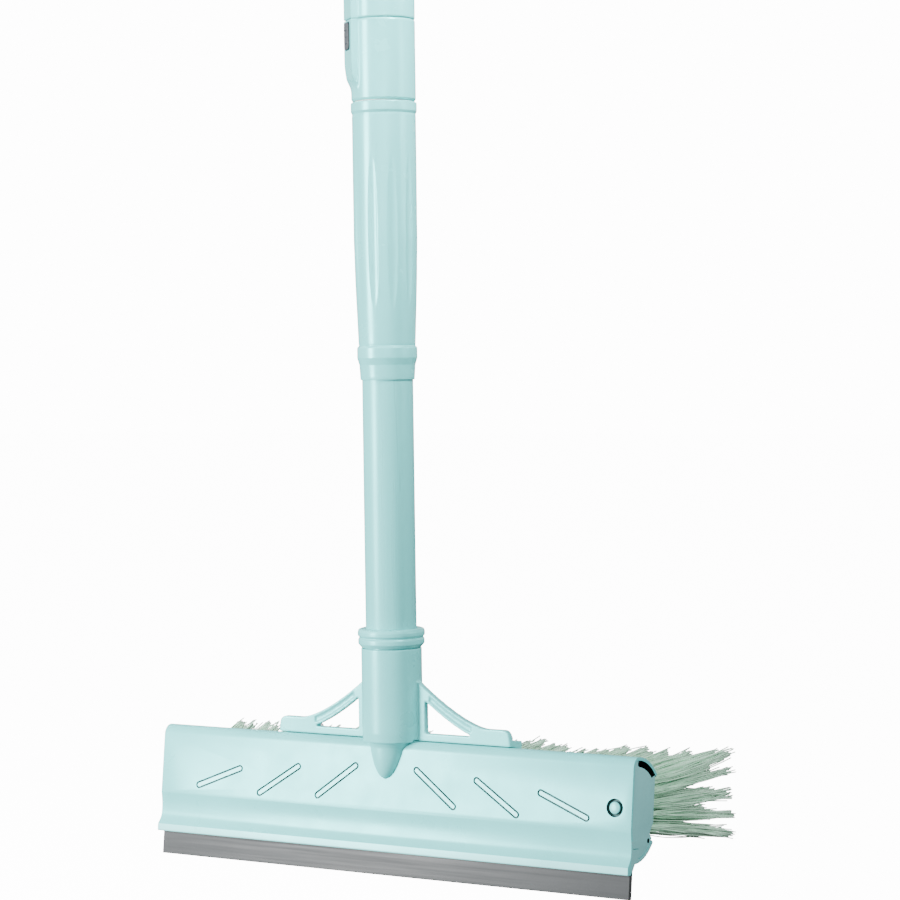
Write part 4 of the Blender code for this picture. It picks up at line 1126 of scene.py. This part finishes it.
def make_coupling():
    low, top = ends(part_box("coupling_collar"))
    radius = COUPLING_RADIUS
    corners = [(radius - 0.0004, top), (radius, top - 0.0005)]
    corners += [(radius, z) for z in ring_heights(low + 0.0012, top - 0.0006)]
    corners += [(radius, low + 0.001, 0.0006), (radius - 0.0006, low, 0.0002)]
    corners += [(0.0145, low), (COUPLING_BORE, low), (COUPLING_BORE, top)]
    collar = lathe("coupling", softened(corners), sides=240, reach=bossed(BOSS_LOW_RAMP, None))
    outline = rounded_box(BUTTON_WIDE + 2 * GAP, BUTTON_TALL + 2 * GAP, 0.0021)
    place = button_place() @ Matrix.Translation((0, 0, BUTTON_FACE - 0.0001))
    combined(collar, [plate("window", [outline], 0.010, place)], "DIFFERENCE")
    finished(collar, "coupling_collar", AQUA_GLOSS, 50)


def make_housing():
    low, high = ends(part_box("upper_housing"))
    radius, top_radius = COUPLING_RADIUS, 0.0151
    taper_foot, taper_top = high - 0.006, high - 0.001
    corners = [(0.0146, high, 0.0002), (top_radius, taper_top, 0.0006)]
    for z in ring_heights(low, high - 0.0012):
        corners.append((np.interp(z, (taper_foot, taper_top), (radius, top_radius)), z))
    corners += [(radius, low + 0.0005), (radius - 0.0004, low)]
    corners += [(COUPLING_BORE, low), (COUPLING_BORE, high)]
    housing = lathe("housing", softened(corners), sides=240, reach=bossed(None, BOSS_HIGH_RAMP))
    finished(housing, "upper_housing", AQUA_GLOSS, 50)


def make_button():
    """A rounded pad with three low grip ribs, on its flange."""
    flange_foot, flange_top, pad_foot = 0.01555, 0.01635, 0.01595

    def slab(name, wide, tall, corner, low, high, bevel=0.0):
        place = button_place() @ Matrix.Translation((0, 0, (low + high) / 2))
        return plate(name, [rounded_box(wide, tall, corner)], high - low, place, bevel, 50)

    wide, tall = BUTTON_WIDE + 0.0014, BUTTON_TALL + 0.0008
    flange = slab("button", wide, tall, 0.001, flange_foot, flange_top)
    joined = [slab("pad", BUTTON_WIDE, BUTTON_TALL, 0.002, pad_foot, BUTTON_FACE - 0.0003, 0.0005)]
    rib_long, rib_wide, rib_tall = 0.0027, 0.00045, 0.0006
    for offset in (-0.0032, 0, 0.0032):
        shift = button_place() @ Matrix.Translation((0, offset, BUTTON_FACE - rib_tall))
        low, high = (-rib_long, -rib_wide, -rib_tall), (rib_long, rib_wide, rib_tall)
        joined.append(block(f"rib_{offset}", low, high, shift))
    combined(flange, joined, "UNION")
    moulded(flange, 0.00013, 3)
    finished(flange, "lock_button", GREY_PLASTIC, 60)


def make_grip():
    low, high = ends(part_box("hand_grip"))
    rings, ring_pitch, ring_start, ring_half, deep = 7, 0.019, 0.590, 0.0036, 0.0010
    corners = [(GRIP_RADIUS - 0.0012, high, 0.0003), (GRIP_RADIUS, high - 0.0015, 0.0006)]
    for i in reversed(range(rings)):
        middle = ring_start + i * ring_pitch
        for t in np.linspace(1, -1, 13):
            corners.append((GRIP_RADIUS - deep * (1 - t * t), middle + ring_half * t))
    corners += [(GRIP_RADIUS, low + 0.012, 0.003), (0.0156, low + 0.002, 0.0008)]
    corners += [(0.0150, low, 0.0003), (COUPLING_BORE, low), (COUPLING_BORE, high)]
    finished(lathe("grip", softened(corners)), "hand_grip", AQUA_GLOSS, 30)


def make_end_cap():
    plug, plug_end, flange_low = 0.0127, 0.7255, ends(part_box("outer_tube"))[1] + GAP
    shoulder, paddle_foot, paddle_half = 0.7455, 0.7475, 0.0125
    corners = [(0, 0.7515), (0.0120, 0.7505, 0.003), (0.0155, paddle_foot, 0.002)]
    corners += [(GRIP_RADIUS, shoulder, 0.002), (GRIP_RADIUS, flange_low, 0.0006), (plug, flange_low)]
    corners += [(plug, plug_end + 0.001, 0.0006), (0.0122, plug_end), (0, plug_end)]
    cap = lathe("cap", softened(corners, closed=False), sides=96, closed=False)
    outline = arc((0, HANG_HOLE_HEIGHT), PADDLE_RADIUS, 0, 180, 48)
    outline += [(-paddle_half, paddle_foot), (paddle_half, paddle_foot)]
    hole = arc((0, HANG_HOLE_HEIGHT), HANG_HOLE_RADIUS, 0, 352.5, 47)
    paddle = plate("paddle", [outline, hole], PADDLE_THICK, POLE @ upright_place())
    combined(cap, [paddle], "UNION")
    moulded(cap, 0.00032, 6)
    finished(cap, "end_cap", AQUA_GLOSS, 60)


def paint_carried_nodes():
    """Gives the CAD nodes that stay a finish of their own."""
    finishes = {"white_nylon": NYLON, "spring_steel": STEEL, "aqua_plastic": AQUA_PLASTIC}
    for node in ("peg_spring", "button_spring", "lock_collet", "top_glide"):
        for place in frame["nodes"][node].material_slots:
            place.material = finishes[SLOT_OF[node]]


# The stage

def studio_floor():
    """A wide white floor, low enough for the head to stay above it when the pole is drawn right out. The
    camera sees it burnt out, and it throws only a little light back up at the object."""
    mesh = bpy.data.meshes.new("studio_floor")
    level = CAD_BOX[0].z - FLOOR_DROP
    half = FLOOR_HALF
    corners = [(-half, -half, level), (half, -half, level), (half, half, level), (-half, half, level)]
    mesh.from_pydata(corners, [], [(0, 1, 2, 3)])
    floor = linked("studio_floor", mesh)
    nodes = Nodes("studio_floor_finish")
    tone = nodes.ranged(nodes.noise(3, 2), 0.3, 0.7, 0, 1)
    seen = nodes.add("ShaderNodeLightPath").outputs["Is Camera Ray"]
    white = nodes.mixed(tone, (0.86, 0.86, 0.86), (0.88, 0.88, 0.88))
    mesh.materials.append(nodes.finish({
        "Base Color": nodes.mixed(seen, FLOOR_BOUNCE, white),
        "Roughness": 0.9,
        "Specular IOR Level": 0.0,
        "Emission Color": (*WHITE, 1),
        "Emission Strength": nodes.ranged(seen, 0, 1, 0, FLOOR_GLOW),
    }))


def softbox(name, place, target, size, power, spread):
    light = bpy.data.lights.new(name, "AREA")
    light.shape = "RECTANGLE"
    light.size, light.size_y = size
    light.energy = power
    light.spread = math.radians(spread)
    lamp = bpy.data.objects.new(name, light)
    bpy.context.scene.collection.objects.link(lamp)
    lamp.location = place
    lamp.rotation_euler = (Vector(target) - Vector(place)).to_track_quat("-Z", "Y").to_euler()


def studio_light():
    """A dim even surround that the camera sees as white, and the softboxes."""
    world = bpy.data.worlds.new("studio")
    bpy.context.scene.world = world
    world.use_nodes = True
    tree = world.node_tree
    background = tree.nodes["Background"]
    background.inputs["Color"].default_value = (*WHITE, 1)
    seen = tree.nodes.new("ShaderNodeLightPath").outputs["Is Camera Ray"]
    strength = tree.nodes.new("ShaderNodeMapRange")
    strength.inputs["To Min"].default_value = SURROUND
    strength.inputs["To Max"].default_value = BACKDROP
    tree.links.new(seen, strength.inputs["Value"])
    tree.links.new(strength.outputs["Result"], background.inputs["Strength"])
    for settings in SOFTBOXES:
        softbox(*settings)


def studio_camera():
    """The camera stands front right of the head and looks a little down at it."""
    around, distance, height = math.radians(32.27), 1.2845, 0.2465
    yaw, pitch, roll = math.radians(1.321), math.radians(1.867), math.radians(-0.788)
    place = Vector((distance * math.sin(around), POLE_Y - distance * math.cos(around), height))
    heading = around - yaw
    level_right = Vector((math.cos(heading), math.sin(heading), 0))
    flat = math.cos(pitch)
    forward = Vector((-math.sin(heading) * flat, math.cos(heading) * flat, -math.sin(pitch)))
    level_up = level_right.cross(forward)
    right = math.cos(roll) * level_right + math.sin(roll) * level_up
    up = right.cross(forward)
    data = bpy.data.cameras.new("camera")
    data.sensor_width = 36
    data.lens = 106.4
    data.clip_start, data.clip_end = 0.05, 100
    camera = bpy.data.objects.new("camera", data)
    bpy.context.scene.collection.objects.link(camera)
    turn = Matrix((right, up, -forward)).transposed().to_4x4()
    camera.matrix_world = Matrix.Translation(place) @ turn
    bpy.context.scene.camera = camera


studio_camera()
make_shell()
make_block()
make_blade()
make_peg()
for row in range(1, ROWS + 1):
    make_bristles(row)
make_bracket()
make_screws()
make_ferrule()
make_tube("lower_tube", "inner_tube", *LOWER_TUBE)
make_sleeve()
make_coupling()
make_housing()
make_button()
make_tube("upper_tube", "outer_tube", *UPPER_TUBE)
make_grip()
make_end_cap()
paint_carried_nodes()
studio_floor()
studio_light()
